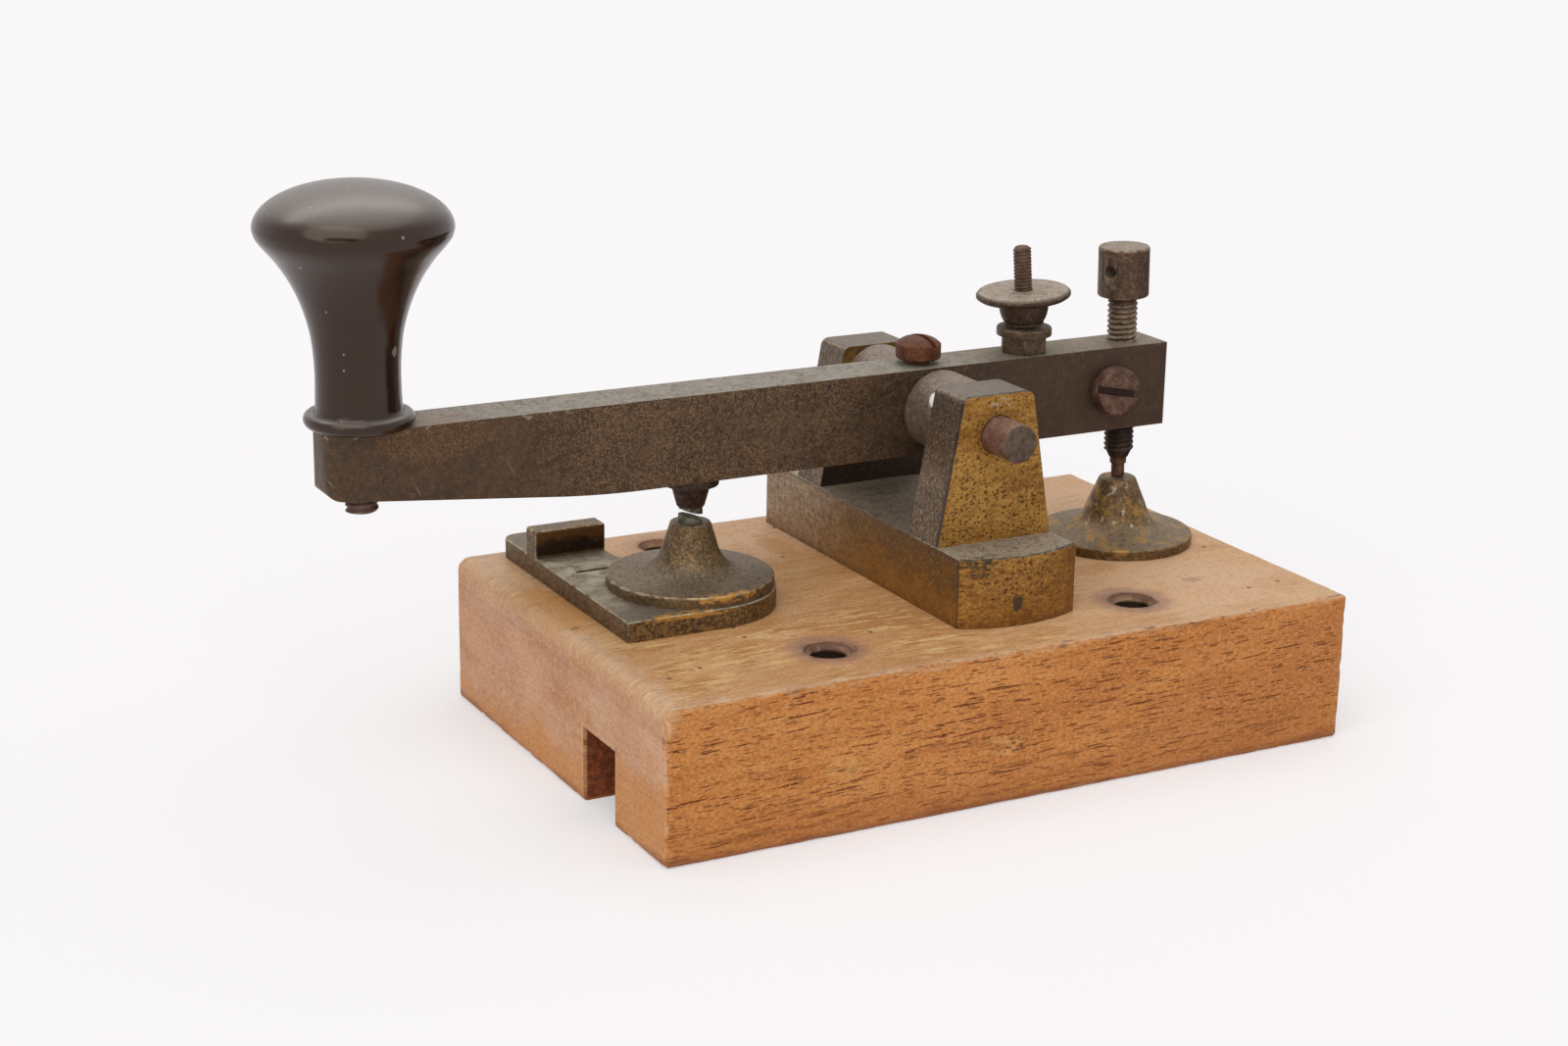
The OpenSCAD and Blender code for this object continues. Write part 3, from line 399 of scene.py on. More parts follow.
def lay_wood_wear(f, side):
    """Pale edges with dark nicks, frayed fibres along the front's top edge, a dark foot and two rubbed spots."""
    f.lay((0.6, 0.37, 0.21), f.worn(), f.step(f.cloud(2.2, 4), 0.38, 0.6, 0, 0.45))
    nick = f.step(f.cloud(1.3, 4, (2, 1, 1), (6, 6, 6)), 0.56, 0.64, 0, 0.8)
    f.lay((0.2, 0.09, 0.05), f.worn(), nick)
    from_brow = f.most(f.minus(f.x, BASE_LOW.x), f.minus(BASE_HIGH.z, f.z))
    rounded = f.step(f.cloud(9, 5, shift=(3, 2, 8)), 0.3, 0.65)
    f.lay((0.58, 0.37, 0.19), f.fade(from_brow, 1.2, 2.6, 0.5), rounded)
    fray = f.times(f.fade(from_brow, 1.5, 4.5), f.step(f.cloud(6, 4, shift=(1, 3, 5)), 0.4, 0.55))
    fibre = f.cloud(0.55, 2, (5, 1, 3), (3, 7, 3))
    f.lay((0.7, 0.5, 0.3), fray, f.step(fibre, 0.54, 0.64, 0, 0.4))
    f.lay((0.36, 0.2, 0.1), fray, f.fade(fibre, 0.36, 0.44, 0.35))
    foot = f.ragged(f.z, 3, 2.5, 4, (3, 3, 1))
    f.lay((0.32, 0.11, 0.03), side, f.fade(foot, 2.0, 10.0, 0.35))
    f.lay((0.24, 0.08, 0.03), f.fade(foot, 1.6, 3.2, 0.7))
    rubbed = f.step(f.cloud(0.9, 4, (2, 1, 1)), 0.38, 0.62)
    for x, z, share in ((-28.7, 9.9, 0.5), (-3.5, 8.6, 0.55)):
        spot = f.patch((x, BASE_LOW.y, z), 3.0, 0.9, 1.5, (1.3, 1, 0.6))
        f.lay((0.64, 0.34, 0.12), spot, rubbed, share)
    crumbs = f.step(f.cloud(0.6, 3, (1.5, 1, 1), (1, 7, 3)), 0.54, 0.62, 0, 0.8)
    f.lay((0.1, 0.045, 0.02), f.patch((-3.0, BASE_LOW.y, 8.3), 2.6, 0.9, 0.8, (1.2, 1, 0.6)), crumbs)


def lay_raw_cuts(f, hole):
    """Raw dark wood inside the groove, the wells and the holes, with painted shade, near black, in the narrow holes
    and down the mounting holes.
    """
    low, high = BASE_LOW, BASE_HIGH
    inside = f.times(f.step(f.x, low.x + 0.3, low.x + 0.7), f.fade(f.x, high.x - 0.8, high.x - 0.4),
                     f.step(f.y, low.y + 0.5, low.y + 0.9), f.fade(f.y, high.y - 0.9, high.y - 0.5),
                     f.step(f.z, low.z + 0.1, low.z + 0.5), f.fade(f.z, high.z - 2.2, high.z - 1.4))
    raw = f.ramp(f.cloud(0.9, 4), (0.35, (0.08, 0.015, 0.0035)), (0.65, (0.235, 0.05, 0.012)))
    # Darker above the roof of the groove and the wells, in the narrow holes: painted shade.
    raw = f.mix(f.step(f.z, GROOVE_TOP + 0.5, GROOVE_TOP + 2), raw, (0.03, 0.016, 0.008))
    f.lay(raw, inside, 0.9)
    # Near black down the bores of the mounting holes: painted shade.
    bore_shade = f.times(f.fade(hole, HOLE_R + 0.15, HOLE_R + 0.35, 0.95), f.fade(f.z, high.z - 1.3, high.z - 0.7))
    f.lay(f.mix(f.cloud(1.0, 3), (0.02, 0.009, 0.005), (0.008, 0.004, 0.002)), bore_shade)
    f.emboss(f.times(inside, f.cloud(0.8, 3)), 0.3)


def wood_finish():
    f = Finish("worn_wood", Specular_IOR_Level=0.12)
    top = f.step(f.facing[2], 0.55, 0.9)
    end = f.step(f.minus(f.absolute(f.facing[0]), f.absolute(f.facing[1])), -0.2, 0.3)
    side = f.minus(1.0, f.most(top, end))
    sway = f.plus(f.times(f.minus(f.cloud(30, 2, (2.2, 1, 1)), 0.5), 3.5), f.times(f.x, -0.025))
    grain = f.point(f.x, f.plus(f.y, sway), f.plus(f.z, sway))
    streak = f.cloud(1.1, 4, (18, 1, 1), place=grain)
    broad = f.cloud(9, 3, (3.5, 1, 1), place=grain)
    varnish = f.times(f.step(f.cloud(13, 4, (1.6, 1, 1), (4, 9, 0)), 0.45, 0.57), f.step(f.x, -15, 25, 1.0, 0.3))
    hole = f.length(f.point(f.minus(f.absolute(f.x), HOLE_X), f.minus(f.absolute(f.y), HOLE_Y)))
    upright = f.mix(end, side_tone(f, streak, broad), end_tone(f))
    f.colour = f.mix(top, upright, top_tone(f, grain, streak, broad, varnish))
    lay_pores(f, grain, sway, top, end, side)
    lay_hole_stains(f, hole, top)
    lay_wood_wear(f, side)
    lay_raw_cuts(f, hole)
    f.emboss(streak, 0.04)
    f.emboss(f.cloud(0.4, 3), 0.035)
    f.rough = f.minus(f.step(f.cloud(5, 3), 0.35, 0.65, 0.45, 0.62), f.times(varnish, top, 0.12))
    return f.seal()


def mount_tool(x, y):
    """A countersunk through hole for a mounting screw."""
    top = BASE_HIGH.z
    return placed(turned([(0, -OVERCUT), (HOLE_R, -OVERCUT), (HOLE_R, top - 0.9), (HOLE_R + 0.8, top - 0.1),
                          (SINK_R, top + 0.3), (SINK_R, top + OVERCUT), (0, top + OVERCUT)], 40), (x, y, 0))


def well_tool(x, y):
    """A well from below for a nut or a bolt's head, and the narrow hole above it."""
    top = BASE_HIGH.z + OVERCUT
    return placed(turned([(0, -OVERCUT), (WELL_R, -OVERCUT), (WELL_R, GROOVE_TOP), (STUD_HOLE_R, GROOVE_TOP),
                          (STUD_HOLE_R, top), (0, top)], 48), (x, y, 0))


mount_tools = [mount_tool(x, y) for x in (-HOLE_X, HOLE_X) for y in (-HOLE_Y, HOLE_Y)]
near_bolt_tool = placed(round_bar(STUD_HOLE_R, GROOVE_TOP - OVERCUT, BASE_HIGH.z + OVERCUT), (PIVOT_X, -BOLT_Y, 0))
groove_tool = block((BASE_LOW.x - OVERCUT, GROOVE_NEAR, -OVERCUT), (GROOVE_END, GROOVE_FAR, GROOVE_TOP))
channel_tool = joined(*[block((x - CHANNEL_HALF, CHANNEL_NEAR, -OVERCUT), (x + CHANNEL_HALF, CHANNEL_FAR, GROOVE_TOP))
                        for x in (FRONT_X, STOP_X)])
base_shape = worked(dented_block(), joined(*mount_tools, *[well_tool(*w) for w in WELLS], near_bolt_tool),
                    groove_tool, channel_tool)
piece("wooden_base", base_shape, "frame", "base_wood", wood_finish(), "base")


# Nuts, washers and bolts below the base
# Brass washers and hexagon nuts hold the two contact seats, and slotted steel bolts hold the bridge, in the wells.
def shaded(colour, share):
    return [c * share for c in colour]


def tarnished(name, deep, body, dust, gleam, speck=(0.3, 0.19, 0.07), specks=0.7, grit=0.3, pits=0.5, dusty=0.6,
              edge=0.8, metal=0.55):
    """Aged brass or bronze: a mottled skin, fine bright specks and grit, dark pits, dust on top, bare worn edges."""
    f = Finish(name, Metallic=metal, Specular_IOR_Level=0.35)
    mottle = f.plus(f.times(f.cloud(7, 4), 0.5), f.times(f.cloud(1.2, 4, shift=(3, 1, 7)), 0.5))
    f.colour = f.ramp(mottle, (0.38, deep), (0.6, body))
    up = f.times(f.step(f.facing[2], 0.5, 0.95), f.step(f.cloud(1.6, 4, shift=(1, 8, 2)), 0.3, 0.55, 0.5, 1.0), dusty)
    f.lay(dust, up)
    fine = f.cloud(0.55, 3, shift=(9, 2, 4))
    bright = f.times(f.step(fine, 0.56, 0.64), f.step(mottle, 0.4, 0.58, 0.3, 1.0), f.step(up, 0, 1, 1.0, 0.4))
    f.lay(speck, bright, specks)
    f.lay(shaded(deep, 0.5), f.step(f.cloud(0.7, 3, shift=(4, 7, 1)), 0.57, 0.65, 0, 0.5))
    grain = f.cloud(0.42, 1, shift=(6, 4, 9))
    f.lay(shaded(body, 1.9), f.step(grain, 0.54, 0.66, 0, grit))
    f.lay(shaded(deep, 0.5), f.fade(grain, 0.34, 0.46, grit))
    away, chance = f.cells(0.9)
    pit = f.times(f.fade(away, 0.1, 0.25, pits), f.below(chance, 0.5))
    f.lay(shaded(deep, 0.4), pit)
    f.lay(gleam, f.worn(), f.step(f.cloud(1.3, 4, shift=(5, 5, 1)), 0.4, 0.6, 0, edge))
    f.emboss(pit, -0.1)
    f.emboss(fine, 0.025)
    f.emboss(mottle, 0.02)
    f.rough = f.plus(f.times(f.cloud(1.2, 3, shift=(2, 2, 2)), 0.25), f.step(up, 0, 1, 0.35, 0.6))
    return f


def rusted(name, deep, body, pale, metal=0.35, rough=0.6):
    """Rusted steel: red-brown crust with paler bloom and dark pits."""
    f = Finish(name, Metallic=metal, Specular_IOR_Level=0.3)
    crust = f.plus(f.times(f.cloud(1.6, 5), 0.6), f.times(f.cloud(0.4, 3, shift=(4, 4, 4)), 0.4))
    f.colour = f.ramp(crust, (0.36, deep), (0.5, body), (0.64, pale))
    away, chance = f.cells(0.7)
    pit = f.times(f.fade(away, 0.1, 0.3), f.below(chance, 0.5))
    f.lay(shaded(deep, 0.4), pit, 0.6)
    f.emboss(crust, 0.12)
    f.emboss(pit, -0.08)
    f.rough = f.step(crust, 0.35, 0.65, rough - 0.1, rough + 0.15)
    return f


def wear_finish(material, *nodes):
    """Gives CAD nodes their finish as they stand."""
    for node in nodes:
        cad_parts[node].data.materials.clear()
        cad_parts[node].data.materials.append(material)


hidden_brass = tarnished("hidden_brass", (0.25, 0.17, 0.06), (0.45, 0.32, 0.13), (0.4, 0.3, 0.16), (0.6, 0.45, 0.2))
bolt_steel = rusted("bolt_steel", (0.06, 0.035, 0.028), (0.13, 0.075, 0.055), (0.2, 0.13, 0.1)).seal()
wear_finish(hidden_brass.seal(), "contact_washers", "contact_nuts", "bridge_washers")
wear_finish(bolt_steel, "bridge_bolts")


# Front plate
# A flat bronze plate, sawn and filed, with a long strip to the far side, a raised rib and a round pad for the seat.
# One slotted countersunk screw holds it to the wood; its near top edge is rubbed bright, with a painted highlight
# along it.
PLATE_LOW, PLATE_TOP = BASE_HIGH.z, 25
STRIP_X0, STRIP_X1, STRIP_NEAR, STRIP_FAR = -48.5, -37.3, -12.3, 32.7
PAD_R, CORNER_R, HOLLOW_R = 12.3, 2.4, 5
RIB_NEAR, RIB_FAR, RIB_TOP, RIB_INSET = 19.4, 23.0, 29.1, 0.02
SCREW_AT = (-42.9, 11.3)


def arc(centre, r, start, end, steps):
    """Points of an arc in a plane, by its angles in degrees."""
    angles = [math.radians(start + (end - start) * i / steps) for i in range(steps + 1)]
    return [(centre[0] + r * math.cos(a), centre[1] + r * math.sin(a)) for a in angles]


def sawn(outline, low, high):
    """A plate cut to an outline in plan, between two heights."""
    bm = bmesh.new()
    face = bm.faces.new([bm.verts.new((x, y, low)) for x, y in outline])
    top = bmesh.ops.extrude_face_region(bm, geom=[face])["geom"]
    bmesh.ops.translate(bm, vec=(0, 0, high - low), verts=[v for v in top if isinstance(v, bmesh.types.BMVert)])
    bmesh.ops.recalc_face_normals(bm, faces=bm.faces)
    return bm


def plate_shape():
    across = STRIP_X1 + HOLLOW_R - FRONT_X
    along = math.sqrt((PAD_R + HOLLOW_R) ** 2 - across ** 2)
    meet = math.degrees(math.atan2(along, across))
    outline = [(STRIP_X0, STRIP_NEAR)] + arc((FRONT_X, 0), PAD_R, -90, meet, 36)
    outline += arc((FRONT_X + across, along), HOLLOW_R, meet + 180, 180, 10)[1:]
    outline += arc((STRIP_X1 - CORNER_R, STRIP_FAR - CORNER_R), CORNER_R, 0, 90, 6)
    outline += arc((STRIP_X0 + CORNER_R, STRIP_FAR - CORNER_R), CORNER_R, 90, 180, 6)
    bm = ease_edges(sawn(outline, PLATE_LOW, PLATE_TOP), 0.22)
    rib = ease_edges(block((STRIP_X0 + RIB_INSET, RIB_NEAR, PLATE_LOW + 1),
                           (STRIP_X1 - RIB_INSET, RIB_FAR, RIB_TOP)), 0.4)
    low, high = PLATE_LOW - OVERCUT, PLATE_TOP + OVERCUT
    countersink = turned([(0, low), (1.65, low), (1.65, 23.6), (2.75, PLATE_TOP - 0.3), (2.75, high), (0, high)], 32)
    return worked(worked(bm, rib, operation="UNION"), placed(countersink, (*SCREW_AT, 0)))


def seat_finish():
    """The plate's and the front seat's bronze: a dusty top, golden near edges and a blackened face of the rib."""
    f = tarnished("seat_bronze", (0.07, 0.043, 0.02), (0.142, 0.088, 0.042), (0.2, 0.163, 0.121), (0.36, 0.29, 0.19),
                  speck=(0.31, 0.19, 0.07), specks=0.62, grit=0.5)
    plate_top = f.times(f.fade(f.z, PLATE_TOP + 0.1, PLATE_TOP + 0.3), f.step(f.facing[2], 0.6, 0.95))
    f.lay((0.165, 0.14, 0.104), plate_top, 0.42)
    near_face = f.fade(f.facing[1], -0.75, -0.35)
    glint = f.step(f.cloud(0.5, 2, shift=(3, 8, 8)), 0.47, 0.6)
    height = f.step(f.z, PLATE_TOP - 0.4, PLATE_TOP + 0.4, 0.55, 0.12)
    f.lay((0.32, 0.2, 0.065), near_face, glint, height)
    gold = f.step(f.cloud(0.7, 4, (2.4, 2.4, 1)), 0.4, 0.56)
    for spot, size, stretch in (((-40.1, -12.3, 24.85), 2.6, (1.9, 0.6, 0.22)),
                                ((-36.5, -12.4, 24.5), 1.8, (1.8, 0.6, 0.2)),
                                ((-33.3, -12.0, 26.2), 2.6, (2.4, 0.7, 0.26))):
        f.lay((0.5, 0.26, 0.06), f.patch(spot, size, 0.9, 0.8, stretch), gold, 0.9)
    # The near top edge: rubbed bright, and painted paler still as an edge highlight.
    arris = f.times(f.worn(), f.step(f.z, PLATE_TOP - 0.5, PLATE_TOP - 0.2),
                    f.fade(f.z, PLATE_TOP + 0.05, PLATE_TOP + 0.2))
    f.lay((0.42, 0.38, 0.29), arris, f.step(f.cloud(2.5, 4, shift=(1, 1, 9)), 0.4, 0.6), 0.65)
    rib_face = f.times(f.fade(f.facing[1], -0.9, -0.6), f.step(f.z, PLATE_TOP + 0.2, PLATE_TOP + 0.5),
                       f.step(f.y, 18, 19))
    blotch = f.ragged(f.z, 5, 2.2, 4, shift=(7, 7, 2))
    soot = f.ramp(f.step(blotch, 28.0, 31.0),
                  (0.35, (0.015, 0.006, 0.003)), (0.65, (0.055, 0.023, 0.006)), (0.9, (0.13, 0.06, 0.014)))
    f.lay(soot, rib_face, 0.9)
    return f.seal()


seat_bronze = seat_finish()
piece("contact_plate", plate_shape(), "frame", "seat_bronze", seat_bronze, "front_plate")


# Plate screw
# A slotted countersunk steel wood screw, driven flush with the plate and dulled to the plate's colour.
SLOT_REACH = 5


def slotted(bm, at, width, low, turn=0.0):
    """Saws a screwdriver slot across a head."""
    saw = block((-SLOT_REACH, -width / 2, 0), (SLOT_REACH, width / 2, 40))
    return worked(bm, placed(saw, (*at, low), (0, 0, turn)))


plate_screw_shape = turned([(0, 11), (0.6, 11.3), (1.6, 14), (1.6, 23.55), (2.7, 24.65), (2.7, 24.97), (0, 25.0)], 40)
plate_screw_shape = slotted(placed(plate_screw_shape, (*SCREW_AT, 0)), SCREW_AT, 0.9, 24.0)
piece("plate_wood_screw", plate_screw_shape, "frame", "screw_steel", seat_bronze, "plate_screw")


# Front and rear contact seats
# Turned bronze discs that flare up into a cone, each with a stud through the base and a tip of contact metal on top.
STUD_R = 2
TIP_R, TIP_SLANT, TIP_OVERCUT = 1.7, math.radians(17), 1.2


def bowed(start, corner, end, steps=10):
    """Points of a curve drawn by its ends and the corner between them."""
    start, corner, end = Vector(start), Vector(corner), Vector(end)
    shares = [i / steps for i in range(steps + 1)]
    return [tuple(start.lerp(corner, t).lerp(corner.lerp(end, t), t)) for t in shares]


def eased(profile, steps=3):
    """A profile with its marked corners rounded: a third number is how far from the corner the rounding starts."""
    points = []
    for i, (r, z, *ease) in enumerate(profile):
        if not ease:
            points.append((r, z))
            continue
        here, before, after = Vector((r, z)), Vector(profile[i - 1][:2]), Vector(profile[i + 1][:2])
        points += bowed(here + (before - here).normalized() * ease[0], here,
                        here + (after - here).normalized() * ease[0], steps)
    return points


def seat_shape(disc_r, rim, flare_r, neck_r, flare_h, top_r, top_h, stud):
    flare = bowed((flare_r, rim + 0.6), (neck_r + 0.7, rim + 1.3), (neck_r, rim + flare_h), 14)
    return turned(eased([(0, -stud), (STUD_R, -stud), (STUD_R, 0), (disc_r, 0, 0.15), (disc_r, rim, 0.35), *flare,
                         (top_r, top_h, 0.3), (0, top_h)]), 96)


def rear_seat_finish():
    f = tarnished("rear_seat_bronze", (0.075, 0.04, 0.017), (0.15, 0.088, 0.038), (0.2, 0.16, 0.11),
                  (0.25, 0.17, 0.08), speck=(0.3, 0.18, 0.05), dusty=0.75)
    blotch = f.times(f.step(f.cloud(3.5, 4, shift=(6, 3, 1)), 0.47, 0.62), f.step(f.cloud(1.4, 4), 0.38, 0.6))
    f.lay((0.36, 0.2, 0.045), blotch, 0.75)
    crumb = f.times(f.step(f.cloud(1.5, 3, shift=(2, 9, 4)), 0.6, 0.68), f.step(f.z, 24, 26))
    f.lay((0.42, 0.35, 0.26), crumb, 0.7)
    return f.seal()


def worn_tip(end, middle, keep_above):
    """A round contact point worn to a slanting, slightly broken face."""
    low, high = (middle - TIP_OVERCUT, end) if keep_above else (end, middle + TIP_OVERCUT)
    bm = placed(round_bar(TIP_R, low, high, 40), (FRONT_X, 0, 0))
    side = Vector((math.sin(TIP_SLANT), 0, math.cos(TIP_SLANT))) * (-1 if keep_above else 1)
    rim = bisected(bm, (FRONT_X, 0, middle), side, clear_outer=True)
    face = bmesh.ops.edgeloop_fill(bm, edges=rim)["faces"]
    bmesh.ops.inset_region(bm, faces=face, thickness=0.35)
    bmesh.ops.inset_region(bm, faces=face, thickness=0.4)
    for vert in {v for f in face for v in f.verts} | {v for e in rim if e.is_valid for v in e.verts}:
        vert.co += side * (noise.noise(vert.co * 1.7) - 0.6) * 0.22
    return bm


front_seat = seat_shape(disc_r=12, rim=1.6, flare_r=7.6, neck_r=3.75, flare_h=4.7, top_r=2.85, top_h=9.2, stud=23.4)
front_seat = placed(front_seat, (FRONT_X, 0, PLATE_TOP))
piece("front_contact_seat", front_seat, "frame", "seat_bronze", seat_bronze, "front_anvil")
rear_seat = seat_shape(disc_r=11.8, rim=1.6, flare_r=8.5, neck_r=4.5, flare_h=4.2, top_r=2.75, top_h=10.03, stud=20.4)
rear_seat = placed(rear_seat, (STOP_X, 0, PLATE_LOW))
piece("rear_contact_seat", rear_seat, "frame", "seat_bronze", rear_seat_finish(), "rear_anvil")
contact_metal = tarnished("contact_metal", (0.03, 0.032, 0.022), (0.085, 0.085, 0.06), (0.11, 0.11, 0.08),
                          (0.2, 0.19, 0.14), speck=(0.16, 0.12, 0.06), metal=0.6).seal()
front_tip = worn_tip(end=34.1, middle=35.05, keep_above=False)
piece("front_seat_tip", front_tip, "frame", "contact_metal", contact_metal, "front_anvil_point")
wear_finish(contact_metal, "rear_anvil_point")


# Bridge
# A brass casting, filed flat: a foot with bowed ends and two tapered posts that carry the pivot.
# Its outer faces are golden and pitted, its tops and slopes grey-brown.
PIVOT_Z, PIVOT_BORE_R = 47.4, 2.84
FOOT_HALF, FOOT_NEAR, FOOT_FAR, NOSE = 9.65, -26.5, 30.5, 2.3
FOOT_TOP, POST_TOP = 32, 53.2
POSTS = ((-20.2, -12.2), (14.0, 21.0))
POST_FOOT_HALF, POST_HEAD_HALF, POST_R = 9.3, 5.6, 1.2


def on_pivot(bm):
    """Lays an upright shape along the pivot's axis, its top to the near side."""
    return placed(bm, (PIVOT_X, 0, PIVOT_Z), (90, 0, 0))


def bridge_shape():
    nose_r = (FOOT_HALF ** 2 + NOSE ** 2) / (2 * NOSE)
    half = math.degrees(math.asin(FOOT_HALF / nose_r))
    outline = arc((PIVOT_X, FOOT_NEAR - NOSE + nose_r), nose_r, 270 - half, 270 + half, 16)
    outline += arc((PIVOT_X, FOOT_FAR + NOSE - nose_r), nose_r, 90 - half, 90 + half, 16)
    lean = math.atan((POST_FOOT_HALF - POST_HEAD_HALF) / (POST_TOP - FOOT_TOP))
    shoulder = POST_HEAD_HALF - POST_R * (1 / math.cos(lean) - math.tan(lean))
    posts = []
    for near, far in POSTS:
        edge = [(POST_FOOT_HALF, FOOT_TOP - 2), (POST_FOOT_HALF, FOOT_TOP)]
        edge += arc((shoulder, POST_TOP - POST_R), POST_R, math.degrees(lean), 90, 5)
        edge += [(-x, z) for x, z in reversed(edge)]
        posts.append(placed(sawn(edge, 0, far - near), (PIVOT_X, far, 0), (90, 0, 0)))
    bm = worked(sawn(outline, PLATE_LOW, FOOT_TOP), *posts, operation="UNION")
    bm = worked(bm, on_pivot(round_bar(PIVOT_BORE_R, -40, 40, 40)))
    bmesh.ops.dissolve_limit(bm, angle_limit=math.radians(0.5), verts=bm.verts, edges=bm.edges)
    return ease_edges(bm, 0.3)


def lay_grey_brown(f, up, slope):
    """The posts' tops and slopes and the foot between them, dulled by age."""
    f.lay((0.125, 0.105, 0.09), up, f.step(f.z, 50, 52), 0.75)
    f.lay((0.05, 0.042, 0.036), f.step(slope, 0.7, 0.9), f.step(f.z, 45, 52), 0.45)
    f.lay((0.07, 0.042, 0.02), up, f.fade(f.absolute(f.y), 10, 14, 0.45))
    f.lay((0.045, 0.034, 0.028), f.worn(), f.step(f.cloud(1.2, 4, (1, 1, 2), (8, 8, 2)), 0.42, 0.6), 0.75)


def lay_gold(f, near, outer, flank):
    """Golden outer faces, the far post's inner face darkened with painted shade, and the foot's flanks, golden below
    and dusty to the far side.
    """
    gold = f.ramp(f.cloud(2.6, 4, (2.2, 2.2, 0.8), (3, 3, 3)),
                  (0.33, (0.25, 0.107, 0.016)), (0.48, (0.36, 0.176, 0.031)), (0.66, (0.44, 0.235, 0.05)))
    gold = f.mix(f.fade(f.ragged(f.z, 4, 3, 3), 30, 36, 0.65), gold, (0.25, 0.104, 0.015))
    f.lay(gold, outer, 0.95)
    # The far post's inner face is painted in shade, near black in its lower part under the lever.
    inner = f.ramp(f.cloud(1.8, 4), (0.4, (0.13, 0.065, 0.016)), (0.6, (0.27, 0.145, 0.03)))
    inner = f.mix(f.fade(f.z, 42, 46), inner, (0.03, 0.017, 0.009))
    f.lay(inner, near, f.step(f.y, 12, 13), 0.85)
    rise = f.ragged(f.z, 14, 3.2, 5, (1.5, 1.5, 1), (5, 2, 8))
    rising = f.ramp(f.step(rise, 28, 40),
                    (0.1, (0.32, 0.15, 0.026)), (0.5, (0.235, 0.11, 0.02)), (0.9, (0.145, 0.083, 0.03)))
    f.lay(rising, flank, 0.9)
    dust = f.step(f.ragged(f.y, 30, 4, 4, shift=(6, 2, 2)), 14, 34, 0, 0.75)
    f.lay(f.ramp(f.cloud(1.0, 3), (0.35, (0.24, 0.17, 0.1)), (0.65, (0.42, 0.33, 0.23))), flank, dust)


def lay_pits(f, brass):
    """Fine flecks, round dark pits of three sizes with a brown halo, and streaks of brown tarnish."""
    fleck = f.cloud(0.42, 1, (1.3, 1.3, 1), (8, 3, 5))
    f.lay((0.52, 0.3, 0.07), f.step(fleck, 0.54, 0.66), brass, 0.45)
    f.lay((0.19, 0.08, 0.015), f.fade(fleck, 0.34, 0.46), brass, 0.5)
    thick = f.times(f.step(f.cloud(6, 3, shift=(2, 6, 1)), 0.34, 0.56, 0.55, 1.0), f.step(f.z, 44, 52, 1.0, 0.7),
                    f.step(f.ragged(f.z, 3, 3, 3, shift=(1, 8, 4)), 26, 28.5, 0.5, 1.0))
    sheet = f.point(f.plus(f.x, f.y), f.z)
    for size, reach, share in ((0.8, 0.22, 0.75), (0.58, 0.25, 0.7), (1.3, 0.17, 0.85)):
        away, chance = f.cells(size, (1.25, 0.9, 1), (size, 2, 5), sheet, "2D")
        wide = f.times(f.minus(f.times(chance, 1.5), 0.45), thick, reach)
        beyond, there = f.minus(away, wide), f.times(f.above(wide, 0.02), brass)
        f.lay((0.16, 0.06, 0.014), f.fade(beyond, -0.05, 0.25, 0.5), there)
        pit = f.times(f.fade(beyond, -0.07, 0.04, share), there)
        f.lay((0.065, 0.026, 0.01), pit)
        f.emboss(pit, -0.12)
    tarnish = f.step(f.cloud(1.3, 5, (1.8, 1.8, 0.7), (9, 4, 4)), 0.5, 0.66)
    f.lay((0.16, 0.06, 0.014), tarnish, brass, f.step(f.z, 30, 38, 0.65, 0.45))


def lay_dark_edges(f, up, slope, flank):
    """Dark lines along the near edges of the near post and of the foot."""
    near = POSTS[0][0]
    slope_edge = f.times(f.step(slope, 0.5, 0.75), f.step(f.z, FOOT_TOP - 0.2, FOOT_TOP + 0.2),
                         f.fade(f.y, near + 0.5, near + 1.0))
    top_edge = f.times(up, f.step(f.z, POST_TOP - 1.2, POST_TOP - 0.6), f.fade(f.y, near + 0.4, near + 0.9))
    off_axis = f.minus(f.x, PIVOT_X)
    bow = f.minus(f.plus(f.y, NOSE - FOOT_NEAR), f.times(off_axis, off_axis, NOSE / FOOT_HALF ** 2))
    nose_edge = f.times(up, f.fade(f.z, FOOT_TOP + 1, FOOT_TOP + 1.5), f.fade(bow, 0.45, 0.9))
    flank_edge = f.times(flank, f.fade(f.y, FOOT_NEAR + 0.2, FOOT_NEAR + 0.6, 0.7))
    broken = f.step(f.cloud(1.6, 4, (1, 1, 2), (8, 8, 2)), 0.32, 0.5, 0, 0.8)
    f.lay((0.034, 0.026, 0.021), f.most(slope_edge, top_edge, nose_edge, flank_edge), broken)


